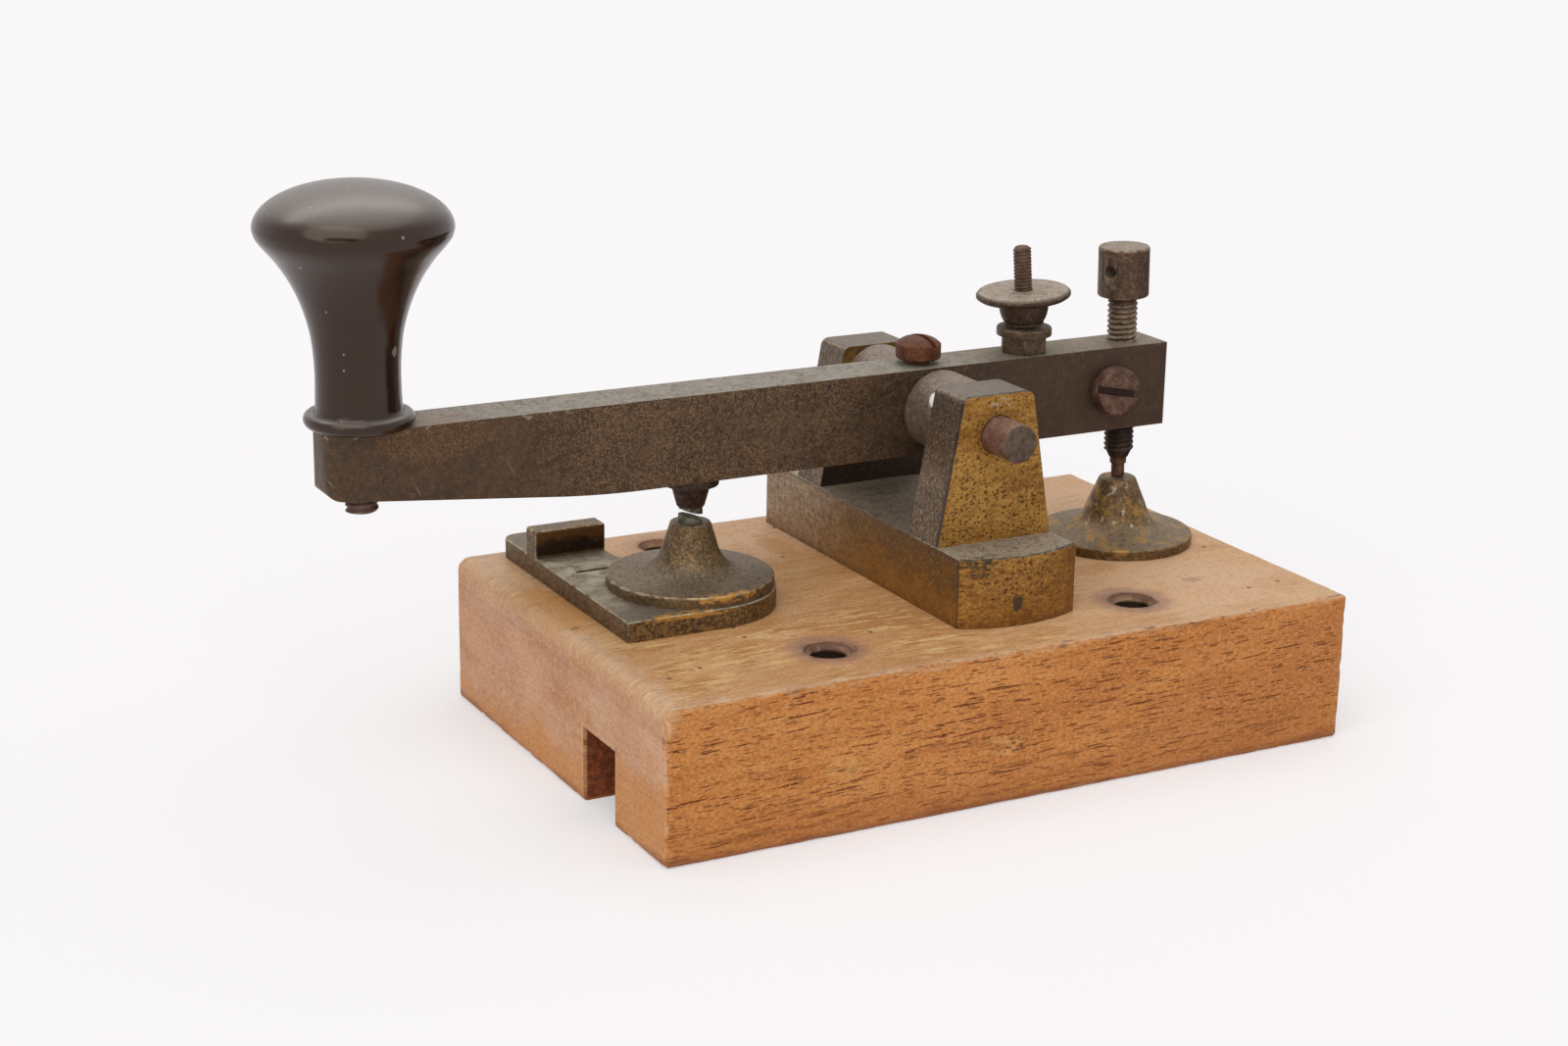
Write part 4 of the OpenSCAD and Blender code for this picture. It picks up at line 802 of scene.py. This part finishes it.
def bridge_finish():
    f = tarnished("bridge_brass", (0.105, 0.068, 0.043), (0.185, 0.126, 0.08), (0.35, 0.3, 0.225), (0.4, 0.33, 0.22),
                  speck=(0.33, 0.25, 0.165), pits=0.6, dusty=0.9, edge=0.4, grit=0.6)
    up, slope = f.step(f.facing[2], 0.6, 0.95), f.absolute(f.facing[0])
    near = f.fade(f.facing[1], -0.9, -0.6)
    outer = f.most(f.times(near, f.fade(f.y, -18, -17)), f.times(f.step(f.facing[1], 0.6, 0.9), f.step(f.y, 19, 20)))
    flank = f.times(f.step(slope, 0.7, 0.95), f.fade(f.z, FOOT_TOP - 0.6, FOOT_TOP))
    lay_grey_brown(f, up, slope)
    lay_gold(f, near, outer, flank)
    lay_pits(f, f.most(outer, f.times(flank, 0.6)))
    stain = f.step(f.cloud(0.7, 4, shift=(2, 2, 7)), 0.36, 0.6)
    f.lay((0.05, 0.036, 0.018), f.patch((-2.6, -28.2, 31.0), 2.6, 1.1, 1.3, (1.2, 1, 0.6)), stain, 0.9)
    f.lay((0.045, 0.032, 0.02), f.patch((3.8, -29.0, 25.3), 1.3, 0.9, 0.9, (0.7, 1, 1.1)), 0.85)
    lay_dark_edges(f, up, slope, flank)
    chip = f.step(f.cloud(0.55, 3, (1.5, 1, 1)), 0.48, 0.62, 0, 0.5)
    f.lay((0.5, 0.45, 0.36), f.patch((5.0, -20.2, 51.9), 1.5, 0.9, 0.6, (1.3, 1, 0.7)), chip)
    f.lay((0.07, 0.035, 0.014), f.fade(f.z, PLATE_LOW + 0.2, PLATE_LOW + 1.6, 0.6), f.cloud(1.6, 4))
    return f.seal()


piece("bridge_casting", bridge_shape(), "frame", "bridge_brass", bridge_finish(), "bridge")


# Pivot pin and collars
# A rusted steel pin runs through both posts and the lever, with a turned brass collar on each side of the lever.
PIN_R, PIN_NEAR, PIN_FAR = 2.8, 25.9, -26.7
COLLAR_BORE_R, COLLAR_R = 2.85, 5.8
COLLAR_ENDS = ((4, 12.1), (-13.9, -4))


def pin_finish():
    f = rusted("pin_steel", (0.1, 0.047, 0.03), (0.17, 0.088, 0.058), (0.25, 0.155, 0.115))
    end = f.step(f.absolute(f.facing[1]), 0.6, 0.9)
    f.lay(f.ramp(f.cloud(1.3, 4), (0.38, (0.047, 0.027, 0.019)), (0.6, (0.108, 0.083, 0.063))), end, 0.8)
    return f.seal()


def collar_finish():
    """Greyed brass with one pale spot on the near collar: a painted highlight."""
    f = tarnished("collar_brass", (0.1, 0.072, 0.054), (0.18, 0.132, 0.1), (0.24, 0.19, 0.15), (0.3, 0.24, 0.18),
                  speck=(0.26, 0.19, 0.13), pits=0.3, metal=0.3)
    # A near-white spot on the near collar's curve: a painted highlight.
    f.lay((0.8, 0.77, 0.72), f.patch((0.6, -10.6, 50.8), 1.5, 0.5, 0.7))
    return f.seal()


pin_shape = turned(eased([(0, PIN_FAR), (PIN_R, PIN_FAR, 0.35), (PIN_R, PIN_NEAR, 0.3), (0, PIN_NEAR)]), 48)
for vert in pin_shape.verts:
    vert.co.xy *= 1 + 0.03 * (noise.noise(vert.co * 0.6) - 0.5)
piece("pivot_pin_steel", on_pivot(pin_shape), "lever_arm", "screw_steel", pin_finish(), "pivot_pin")

collars = [on_pivot(turned(eased([(COLLAR_BORE_R, low), (COLLAR_R, low, 0.3), (COLLAR_R, high, 0.45),
                                  (COLLAR_BORE_R, high), (COLLAR_BORE_R, low)]), 64)) for low, high in COLLAR_ENDS]
piece("pivot_collar_pair", joined(*collars), "lever_arm", "turned_brass", collar_finish(), "pivot_collars")


# Lever
# A long bronze bar with a square section, its underside filed to rise towards the knob and its front end rounded.
# The skin is a dark brown patina with fine ochre specks, scratched near the knob and paler on top.
LEVER_FRONT, LEVER_TAIL, LEVER_TOP, LEVER_LOW, LEVER_HALF = -87.3, 45.1, 53.5, 40.8, 4
BEND_X, BEND_REACH, FRONT_DEPTH = -48.5, 7, 8.9
RISE = (LEVER_TOP - LEVER_LOW - FRONT_DEPTH) / (BEND_X - LEVER_FRONT)
FRONT_PLAN_R, FRONT_LOW_R = 3, 1.8
ROD_HOLE_X, ROD_HOLE_R = 22.68, 2.05


def lever_shape():
    side = [(LEVER_TAIL, LEVER_TOP), (LEVER_FRONT, LEVER_TOP), (LEVER_FRONT, LEVER_TOP - FRONT_DEPTH, FRONT_LOW_R)]
    side += bowed((BEND_X - BEND_REACH, LEVER_LOW + RISE * BEND_REACH), (BEND_X, LEVER_LOW),
                  (BEND_X + BEND_REACH, LEVER_LOW), 12)
    side += [(LEVER_TAIL, LEVER_LOW)]
    plan = [(LEVER_TAIL + OVERCUT, -LEVER_HALF), (LEVER_TAIL + OVERCUT, LEVER_HALF),
            (LEVER_FRONT, LEVER_HALF, FRONT_PLAN_R), (LEVER_FRONT, -LEVER_HALF, FRONT_PLAN_R)]
    plan = eased(plan + plan[:1], 8)[:-1]
    bm = placed(sawn(eased(side, 8), -LEVER_HALF - OVERCUT, LEVER_HALF + OVERCUT), turn=(90, 0, 0))
    bm = worked(bm, sawn(plan, LEVER_LOW - 2, LEVER_TOP + 2), operation="INTERSECT")
    bm = worked(bm, placed(round_bar(ROD_HOLE_R, 30, 60), (ROD_HOLE_X, 0, 0)))
    bmesh.ops.dissolve_limit(bm, angle_limit=math.radians(0.3), verts=bm.verts, edges=bm.edges)
    return ease_edges(bm, 0.32)


def lever_finish():
    f = tarnished("lever_bronze", (0.05, 0.031, 0.019), (0.108, 0.066, 0.039), (0.27, 0.248, 0.205),
                  (0.26, 0.2, 0.14), speck=(0.2, 0.115, 0.055), pits=0.35, dusty=0.95, edge=0.55, specks=0.4)
    upright = f.fade(f.facing[2], 0.3, 0.7)
    sparkle = f.cloud(0.28, 0, shift=(2, 5, 7))
    middle = f.times(f.step(f.x, -72, -48), f.fade(f.x, -15, 8), upright,
                     f.step(f.cloud(9, 4, shift=(4, 1, 1)), 0.35, 0.6, 0.45, 1.0))
    f.lay((0.23, 0.128, 0.055), f.step(sparkle, 0.54, 0.68), middle, 0.7)
    f.lay((0.045, 0.025, 0.014), f.fade(sparkle, 0.32, 0.46), middle, 0.5)
    f.lay((0.068, 0.039, 0.025), f.step(f.x, 0, 20), upright, 0.72)
    f.lay((0.068, 0.038, 0.02), f.fade(f.x, -68, -48, 0.55), upright)
    f.lay((0.19, 0.13, 0.075), f.step(f.x, 5, 20), f.step(f.facing[2], 0.6, 0.95), 0.35)
    for slant, share in ((28, 0.35), (-35, 0.3), (70, 0.3)):
        slanting = f.stretched((1, 1, 1), turn=(0, slant, 0))
        scratch = f.step(f.cloud(0.5, 2, (1, 9, 9), (slant, 3, 1), slanting), 0.68, 0.74)
        f.lay((0.3, 0.25, 0.19), scratch, f.fade(f.x, -70, -45, share))
    flecks = f.times(f.step(f.cloud(0.8, 3, (2.2, 1, 1), (6, 1, 4)), 0.58, 0.66),
                     f.step(f.z, LEVER_TOP - 1.1, LEVER_TOP - 0.5))
    f.lay((0.36, 0.33, 0.27), flecks, f.step(f.x, -58, -36, 0.55, 0.1))
    rust = f.times(f.patch((-72, -LEVER_HALF, 51.5), 9, 0.5, 1.4, (1, 1, 0.35)), f.step(f.cloud(0.4, 3), 0.45, 0.6))
    f.lay((0.26, 0.11, 0.035), rust, 0.4)
    return f.seal()


piece("lever_bar", lever_shape(), "lever_arm", "lever_bronze", lever_finish(), "lever")


# Set screw
# A slotted round-headed steel screw in the top of the lever, standing a little proud above the pivot.
SET_X, SET_SHANK_R, SET_HEAD_R, SET_LOW, SET_RIM = 3.7, 1.7, 3.3, 54.3, 56.4
screw_rust = rusted("screw_rust", (0.05, 0.013, 0.004), (0.095, 0.028, 0.008), (0.155, 0.06, 0.027), metal=0.2).seal()
set_shape = turned(eased([(0, 50), (SET_SHANK_R, 50), (SET_SHANK_R, SET_LOW), (SET_HEAD_R, SET_LOW, 0.3),
                          (SET_HEAD_R, SET_RIM)]) + bowed((SET_HEAD_R, SET_RIM), (2.1, 57.65), (0, 57.65), 8), 48)
set_shape = slotted(placed(set_shape, (SET_X, 0, 0)), (SET_X, 0), 0.9, 56.0, turn=106)
piece("pivot_set_screw", ease_edges(set_shape, 0.1, sharper=50), "lever_arm", "screw_steel", screw_rust, "set_screw")


# Knob
# Turned in one piece from black hard rubber and polished: a beaded foot, a slim waist and a flaring domed grip.
# A steel screw holds it to the lever from below; years of handling have left small pale nicks.
KNOB_X, GRIP_R, GRIP_Z, DOME = -81.5, 13, 26.3, 6
BEAD_R, BEAD_X = 1.02, 6.3


def flowing(points, steps=4):
    """Points of a smooth curve through the given ones."""
    points = [Vector(p) for p in points]
    ends = [points[0], *points, points[-1]]
    curve = []
    for a, b, c, d in zip(ends, ends[1:], ends[2:], ends[3:]):
        for t in (i / steps for i in range(steps)):
            swing = (2 * a - 5 * b + 4 * c - d) * t ** 2 + (3 * (b - c) + d - a) * t ** 3
            curve.append(tuple(b + ((c - a) * t + swing) / 2))
    return curve + [tuple(points[-1])]


def knob_shape():
    foot = [(0, 0), (BEAD_X, 0), *arc((BEAD_X, BEAD_R), BEAD_R, -80, 65, 10), (6.4, 1.98), (5.95, 1.86), (5.78, 2.02)]
    stem = flowing([(5.72, 2.5), (5.64, 5), (5.62, 7.5), (5.76, 10), (6.08, 12.5), (6.7, 15), (7.6, 17.5), (8.85, 20),
                    (10.4, 22.3), (11.85, 24), (12.7, 25.2), (GRIP_R, GRIP_Z)])
    dome = [(GRIP_R * math.cos(t), GRIP_Z + DOME * math.sin(t)) for t in (math.pi / 2 * i / 18 for i in range(1, 18))]
    return turned(foot + stem + dome + [(0, GRIP_Z + DOME)], 96)


def knob_finish():
    f = Finish("black_rubber", Specular_IOR_Level=0.5, Specular_Tint=(1, 0.84, 0.7, 1))
    f.colour = f.ramp(f.cloud(9, 3), (0.3, (0.013, 0.004, 0.003)), (0.7, (0.02, 0.007, 0.005)))
    # The upward faces of the dome are painted a lighter grey: a painted reflection of the bright room above.
    up = f.step(f.facing[2], 0.45, 1.0)
    f.lay((0.168, 0.152, 0.138), up, 0.8)
    away, chance = f.cells(1.9)
    nick = f.times(f.fade(away, 0.08, 0.14), f.below(chance, 0.3))
    f.lay((0.32, 0.27, 0.24), nick, 0.7)
    f.lay((0.34, 0.28, 0.22), f.patch((-78.1, -4.7, 64.1), 0.6, 0.6, 0.8, (1, 1, 1.3)), 0.5)
    f.emboss(nick, -0.05)
    f.emboss(f.cloud(3, 2), 0.015)
    f.rough = f.plus(f.times(f.cloud(1.5, 4), 0.12), f.step(up, 0, 1, 0.14, 0.3))
    return f.seal()


piece("hand_knob", placed(knob_shape(), (KNOB_X, 0, LEVER_TOP)), "lever_arm", "knob_ebonite", knob_finish(), "knob",
      smooth=50)


# Knob screw
# A steel screw whose threaded end shows below the lever under the knob.
def threaded(core, crest, pitch, low, high, steps=24):
    """A screw thread: one ridge spun up along the axis and trimmed flat at both ends."""
    bm = bmesh.new()
    ridge = [(core, 0), (crest, 0.4), (crest, 0.6), (core, 1)]
    points = [bm.verts.new((r, 0, low + (h - 1) * pitch)) for r, h in ridge]
    edges = [bm.edges.new(pair) for pair in zip(points, points[1:])]
    turns = math.ceil((high - low) / pitch) + 2
    bmesh.ops.spin(bm, geom=points + edges, cent=(0, 0, 0), axis=(0, 0, 1), dvec=(0, 0, pitch / steps),
                   angle=2 * math.pi * turns, steps=steps * turns, use_merge=False, use_duplicate=False)
    bmesh.ops.remove_doubles(bm, verts=bm.verts, dist=pitch * 0.01)
    for height, way in ((low, -1), (high, 1)):
        bmesh.ops.edgeloop_fill(bm, edges=bisected(bm, (0, 0, height), (0, 0, way), clear_outer=True))
    return bm


screw_nose = turned(eased([(0, 41.73), (1.8, 41.73, 0.25), (1.9, 42.2), (1.9, 60), (0, 60)]), 32)
screw_thread = threaded(core=1.85, crest=2.2, pitch=0.9, low=41.9, high=46)
screw_shape = placed(joined(screw_thread, screw_nose), (KNOB_X, 0, 0))
piece("knob_holding_screw", screw_shape, "lever_arm", "screw_steel", bolt_steel, "knob_screw")


# Upper front contact
# A small turned brass holder pressed into the lever's underside, with a worn tip of contact metal.
holder_shape = turned(eased([(0, 36.45), (1.95, 36.45, 0.2), (2.8, 39.5), (4, 39.7, 0.15), (4, LEVER_LOW, 0.1),
                             (0, LEVER_LOW)]), 56)
holder_brass = tarnished("holder_brass", (0.03, 0.018, 0.012), (0.08, 0.048, 0.032), (0.09, 0.06, 0.04),
                         (0.16, 0.11, 0.07), speck=(0.15, 0.08, 0.04)).seal()
piece("upper_contact_holder", placed(holder_shape, (FRONT_X, 0, 0)), "lever_arm", "turned_brass", holder_brass,
      "lever_contact")
upper_tip = worn_tip(end=36.6, middle=35.6, keep_above=True)
piece("upper_contact_tip", upper_tip, "lever_arm", "contact_metal", contact_metal, "lever_contact_point")


# Stop screw
# A threaded brass screw with a tall barrel head, cross-drilled for a turning bar; it sets how far the lever rises.
# It leans slightly, as its hole was drilled, and ends in a turned tip that rests on the rear seat.
STOP_LOW, STOP_LEAN = 32.1, -1.5
BARREL_R, BARREL_LOW, BARREL_TOP = 3.85, 28.31, 35.91
BAR_HOLE_R, BAR_HOLE_Z, BAR_HOLE_TURN = 1, 32.34, math.degrees(math.atan2(-0.39, -0.92))


def on_stop_axis(bm):
    return placed(bm, (STOP_X, 0, STOP_LOW), (0, STOP_LEAN, 0))


def stop_finish():
    """Dark brass, near black below the lever and dusty on top."""
    f = tarnished("stop_brass", (0.05, 0.028, 0.017), (0.105, 0.06, 0.037), (0.292, 0.25, 0.193), (0.3, 0.22, 0.15),
                  speck=(0.17, 0.105, 0.055), pits=0.3, dusty=0.9)
    f.lay((0.02, 0.014, 0.011), f.fade(f.z, 40, 41, 0.8))
    return f.seal()


tip_steel = rusted("tip_steel", (0.05, 0.026, 0.016), (0.12, 0.06, 0.035), (0.19, 0.11, 0.07)).seal()
tip_shape = turned(eased([(0, 0), (1, 0, 0.2), (1, 2.15), (1.25, 2.15, 0.1), (1.25, 3.15), (0, 3.15)]), 40)
piece("stop_screw_tip", on_stop_axis(tip_shape), "stop_tip", "contact_metal", tip_steel, "stop_point")

stop_core = turned(eased([(0, 3.2), (1.45, 3.2), (2.0, 4.4), (2.0, 27.6), (2.95, BARREL_LOW),
                          (BARREL_R, BARREL_LOW, 0.35), (BARREL_R, BARREL_TOP, 0.5), (0, BARREL_TOP)]), 56)
bar_hole = placed(round_bar(BAR_HOLE_R, -9, 9, 24), (0, 0, BAR_HOLE_Z), (0, 90, BAR_HOLE_TURN))
stop_thread = threaded(core=1.95, crest=2.25, pitch=0.8, low=4.4, high=27.5)
stop_shape = joined(worked(stop_core, bar_hole), stop_thread)
piece("stop_barrel_screw", on_stop_axis(stop_shape), "stop", "turned_brass", stop_finish(), "stop_screw")


# Lock screw
# A slotted cheese-headed steel screw in the near side of the lever; it grips the stop screw's thread.
LOCK_X, LOCK_Z, LOCK_HEAD_R, LOCK_TOP = 35.3, 47.15, 3.65, 6.4


def lock_finish():
    """Rusted steel, darker inside the slot."""
    f = rusted("lock_rust", (0.055, 0.026, 0.015), (0.112, 0.058, 0.037), (0.19, 0.115, 0.085))
    off_axis = f.length(f.point(f.minus(f.x, LOCK_X), f.minus(f.z, LOCK_Z)))
    within = f.fade(off_axis, LOCK_HEAD_R - 0.25, LOCK_HEAD_R - 0.1)
    f.lay((0.026, 0.014, 0.01), within, f.step(f.y, -6.2, -5.7), 0.75)
    return f.seal()


lock_shape = turned(eased([(0, 0), (1.7, 0), (1.7, 4.05), (LOCK_HEAD_R, 4.05, 0.15), (LOCK_HEAD_R, LOCK_TOP, 0.4),
                           (0, LOCK_TOP)]), 56)
lock_shape = ease_edges(slotted(lock_shape, (0, 0), 1.1, 5.3, turn=-12), 0.08, sharper=60)
lock_shape = placed(lock_shape, (LOCK_X, 0, LOCK_Z), (90, 0, 0))
piece("stop_lock_screw", lock_shape, "lever_arm", "screw_steel", lock_finish(), "lock_screw")


# Tension spring and its post
# A steel post screwed into the base holds the lower end of a wound steel spring, which pulls the lever's tail down.
TENSION_AT, TENSION_LEAN = (24.7, 0, 22), -4.6


def on_spring_axis(bm):
    return placed(bm, TENSION_AT, (0, TENSION_LEAN, 0))


def coil_shape(coil_r, wire_r, pitch, low, turns, steps=32):
    bm = bmesh.new()
    bmesh.ops.create_circle(bm, cap_ends=True, segments=10, radius=wire_r)
    placed(bm, (coil_r, 0, low), (90, 0, 0))
    whole = round(steps * turns)
    bmesh.ops.spin(bm, geom=bm.verts[:] + bm.edges[:] + bm.faces[:], cent=(0, 0, 0), axis=(0, 0, 1),
                   dvec=(0, 0, pitch / steps), angle=2 * math.pi * whole / steps, steps=whole,
                   use_merge=False, use_duplicate=False)
    return bm


post_shape = turned(eased([(0, -9), (1.5, -9, 0.2), (1.5, 1, 0.2), (1.1, 1.05), (1.1, 5.55, 0.2), (0, 5.55)]), 40)
piece("spring_post_steel", on_spring_axis(post_shape), "frame", "screw_steel", bolt_steel, "spring_post")
spring_wire = rusted("spring_wire", (0.1, 0.085, 0.075), (0.2, 0.18, 0.165), (0.3, 0.28, 0.26), metal=0.8,
                     rough=0.4).seal()
spring_shape = coil_shape(coil_r=1.625, wire_r=0.275, pitch=1.15, low=1.55, turns=11.875)
spring = piece("tension_coil", on_spring_axis(spring_shape), "frame", "spring_steel", spring_wire, "tension_spring")
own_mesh(spring)


# Tension rod
# A threaded steel rod that runs up from the spring through the lever and its collar.
rod_rust = rusted("rod_rust", (0.045, 0.025, 0.017), (0.1, 0.055, 0.036), (0.17, 0.1, 0.07)).seal()
rod_core = turned(eased([(0, 11.85), (1.1, 11.85, 0.15), (1.1, 15.84), (1.2, 15.9), (1.2, 47.2), (0.9, 47.45),
                         (0, 47.45)]), 32)
rod_thread = threaded(core=1.12, crest=1.35, pitch=0.5, low=15.9, high=47.1, steps=20)
rod_shape = joined(rod_core, rod_thread)
piece("threaded_rod", on_spring_axis(rod_shape), "rod", "screw_steel", rod_rust, "tension_rod")


# Tension collar
# A brass hexagon with a turned ring on top, standing on the lever round the rod.
COLLAR_X, HEX_HALF, RING_R, RING_LOW, RING_TOP = 21.866, 3.2, 4.1, 56, 57.3
hexagon = arc((0, 0), HEX_HALF / math.cos(math.pi / 6), 0, 300, 5)
hex_shape = ease_edges(sawn(hexagon, LEVER_TOP, RING_LOW + 0.05), 0.25)
ring_shape = turned(eased([(0, RING_LOW), (RING_R, RING_LOW, 0.2), (RING_R, RING_TOP, 0.35), (0, RING_TOP)]), 64)
collar_shape = worked(worked(hex_shape, ring_shape, operation="UNION"), round_bar(1.95, 50, 60))
hex_brass = tarnished("collar_hex_brass", (0.06, 0.038, 0.022), (0.12, 0.078, 0.046), (0.18, 0.135, 0.1),
                      (0.22, 0.15, 0.09), speck=(0.16, 0.1, 0.05), pits=0.3).seal()
collar_shape = placed(collar_shape, (COLLAR_X, 0, 0))
piece("hexagon_collar", collar_shape, "lever_arm", "turned_brass", hex_brass, "tension_collar")


# Thumb nut
# A turned brass nut: a bell-shaped foot under a thin disc, turned by hand to draw the spring.
NUT_LOW, NUT_BORE_R, DISC_R, NUT_TOP = 35.797, 1.4, 7, 5.1
nut_profile = [(NUT_BORE_R, 0), (2.9, 0, 0.1), (2.9, 0.4)] + bowed((2.9, 0.4), (3.7, 1.27), (3.7, 3.8), 8)[1:]
nut_profile += [(6.4, 3.8, 0.1), (DISC_R, 4.23, 0.15), (DISC_R, 4.67, 0.15), (6.6, NUT_TOP, 0.15),
                (NUT_BORE_R, NUT_TOP), (NUT_BORE_R, 0)]
nut_brass = tarnished("nut_brass", (0.045, 0.026, 0.016), (0.085, 0.049, 0.03), (0.368, 0.32, 0.255),
                      (0.3, 0.22, 0.15), speck=(0.16, 0.11, 0.07), pits=0.3, dusty=0.9).seal()
nut_shape = placed(turned(eased(nut_profile), 72), (0, 0, NUT_LOW))
piece("thumb_disc_nut", on_spring_axis(nut_shape), "nut", "turned_brass", nut_brass, "thumb_nut")


# Studio
# A wide pale floor under soft light from above and from the front, and a camera where the photographer stood.
# Two dark cards and a strip of light stand outside the picture, for the polished knob to mirror.
FLOOR_R = 6.0
ROOM_LIGHT, BACKDROP = ((1, 0.992, 0.99, 1), 0.42), ((0.94, 0.925, 0.93, 1), 1.0)
SENSOR, FOCAL_PIXELS, PICTURE_PIXELS = 36, 2803.96, 1600
TARGET, DISTANCE = Vector((-18.99, -1.9, 32.58)) * MM, 393.32 * MM
AZIMUTH, ELEVATION, ROLL = math.radians(-28.398), math.radians(16.803), math.radians(0.9625)


def matt_paint(name, spots, dark, light, **glow):
    """Dull paint with the faintest mottling, which may glow."""
    f = Finish(name, Specular_IOR_Level=0.0, **glow)
    f.colour, f.rough = f.ramp(f.cloud(spots, 2), (0.3, dark), (0.7, light)), 0.9
    return f.seal()


def studio_thing(name, bm, paint):
    mesh = bpy.data.meshes.new(name)
    bm.to_mesh(mesh)
    bm.free()
    mesh.materials.append(paint)
    made = bpy.data.objects.new(name, mesh)
    bpy.context.scene.collection.objects.link(made)
    return made


def card(name, corners, paint):
    """A board outside the picture, which only shows where something glossy mirrors it."""
    bm = bmesh.new()
    bm.faces.new([bm.verts.new(Vector(c) * MM) for c in corners])
    board = studio_thing(name, bm, paint)
    board.visible_camera = board.visible_diffuse = board.visible_shadow = board.visible_transmission = False


def soft_light(name, comes_from, strength, spread):
    """An even light from one side of the room, as from a large softbox far away."""
    lamp = bpy.data.lights.new(name, "SUN")
    lamp.energy, lamp.angle = strength, math.radians(spread)
    held = bpy.data.objects.new(name, lamp)
    held.matrix_world = Vector(comes_from).to_track_quat("Z", "Y").to_matrix().to_4x4()
    bpy.context.scene.collection.objects.link(held)


disc = bmesh.new()
bmesh.ops.create_circle(disc, cap_ends=True, segments=64, radius=FLOOR_R)
floor_paint = matt_paint("pale_floor", 60, (0.6, 0.59, 0.596), (0.603, 0.594, 0.599),
                         Emission_Color=(0.943, 0.928, 0.937, 1), Emission_Strength=0.363)
floor = studio_thing("floor", disc, floor_paint)

card_paint = matt_paint("card_paint", 80, (0.015, 0.013, 0.012), (0.025, 0.022, 0.02))
card("side_card", ((40, -75, 0.5), (420, -280, 0.5), (620, 300, 0.5), (75, 70, 0.5)), card_paint)
card("back_card", ((-380, -1100, 330), (-1000, -700, 330), (-1000, -700, 620), (-380, -1100, 620)), card_paint)
strip_glow = matt_paint("strip_glow", 80, (0.88, 0.88, 0.88), (0.92, 0.92, 0.92),
                        Emission_Color=(1, 0.99, 0.98, 1), Emission_Strength=4.0)
card("strip_light", ((-900, 540, 1170), (900, 540, 1170), (900, 790, 1010), (-900, 790, 1010)), strip_glow)
soft_light("top_light", (0.05, 0.05, 1.0), 0.95, 75)
soft_light("front_light", (-0.75, -0.75, 0.9), 1.42, 65)

world = bpy.data.worlds.new("studio")
bpy.context.scene.world = world
world.use_nodes = True
tree = world.node_tree
tree.nodes.clear()
path = tree.nodes.new("ShaderNodeLightPath")
seen = path.outputs["Is Camera Ray"]
for ray in ("Is Glossy Ray", "Is Transmission Ray"):
    either = tree.nodes.new("ShaderNodeMath")
    either.operation = "MAXIMUM"
    tree.links.new(seen, either.inputs[0])
    tree.links.new(path.outputs[ray], either.inputs[1])
    seen = either.outputs[0]
sky = tree.nodes.new("ShaderNodeMixShader")
tree.links.new(seen, sky.inputs[0])
for socket, (colour, strength) in zip(sky.inputs[1:], (ROOM_LIGHT, BACKDROP)):
    background = tree.nodes.new("ShaderNodeBackground")
    background.inputs["Color"].default_value, background.inputs["Strength"].default_value = colour, strength
    tree.links.new(background.outputs[0], socket)
tree.links.new(sky.outputs[0], tree.nodes.new("ShaderNodeOutputWorld").inputs[0])

camera = bpy.data.objects.new("camera", bpy.data.cameras.new("camera"))
camera.data.sensor_fit, camera.data.sensor_width = "HORIZONTAL", SENSOR
camera.data.lens = FOCAL_PIXELS / PICTURE_PIXELS * SENSOR
camera.data.clip_start, camera.data.clip_end = 0.01, 50
level = math.cos(ELEVATION)
back = Vector((math.sin(AZIMUTH) * level, -math.cos(AZIMUTH) * level, math.sin(ELEVATION)))
right = Vector((0, 0, 1)).cross(back).normalized()
axes = Matrix((right, back.cross(right), back)).transposed().to_4x4()
camera.matrix_world = Matrix.Translation(TARGET + back * DISTANCE) @ axes @ Matrix.Rotation(ROLL, 4, "Z")
bpy.context.scene.collection.objects.link(camera)
bpy.context.scene.camera = camera
bpy.context.scene.view_settings.view_transform = "Standard"
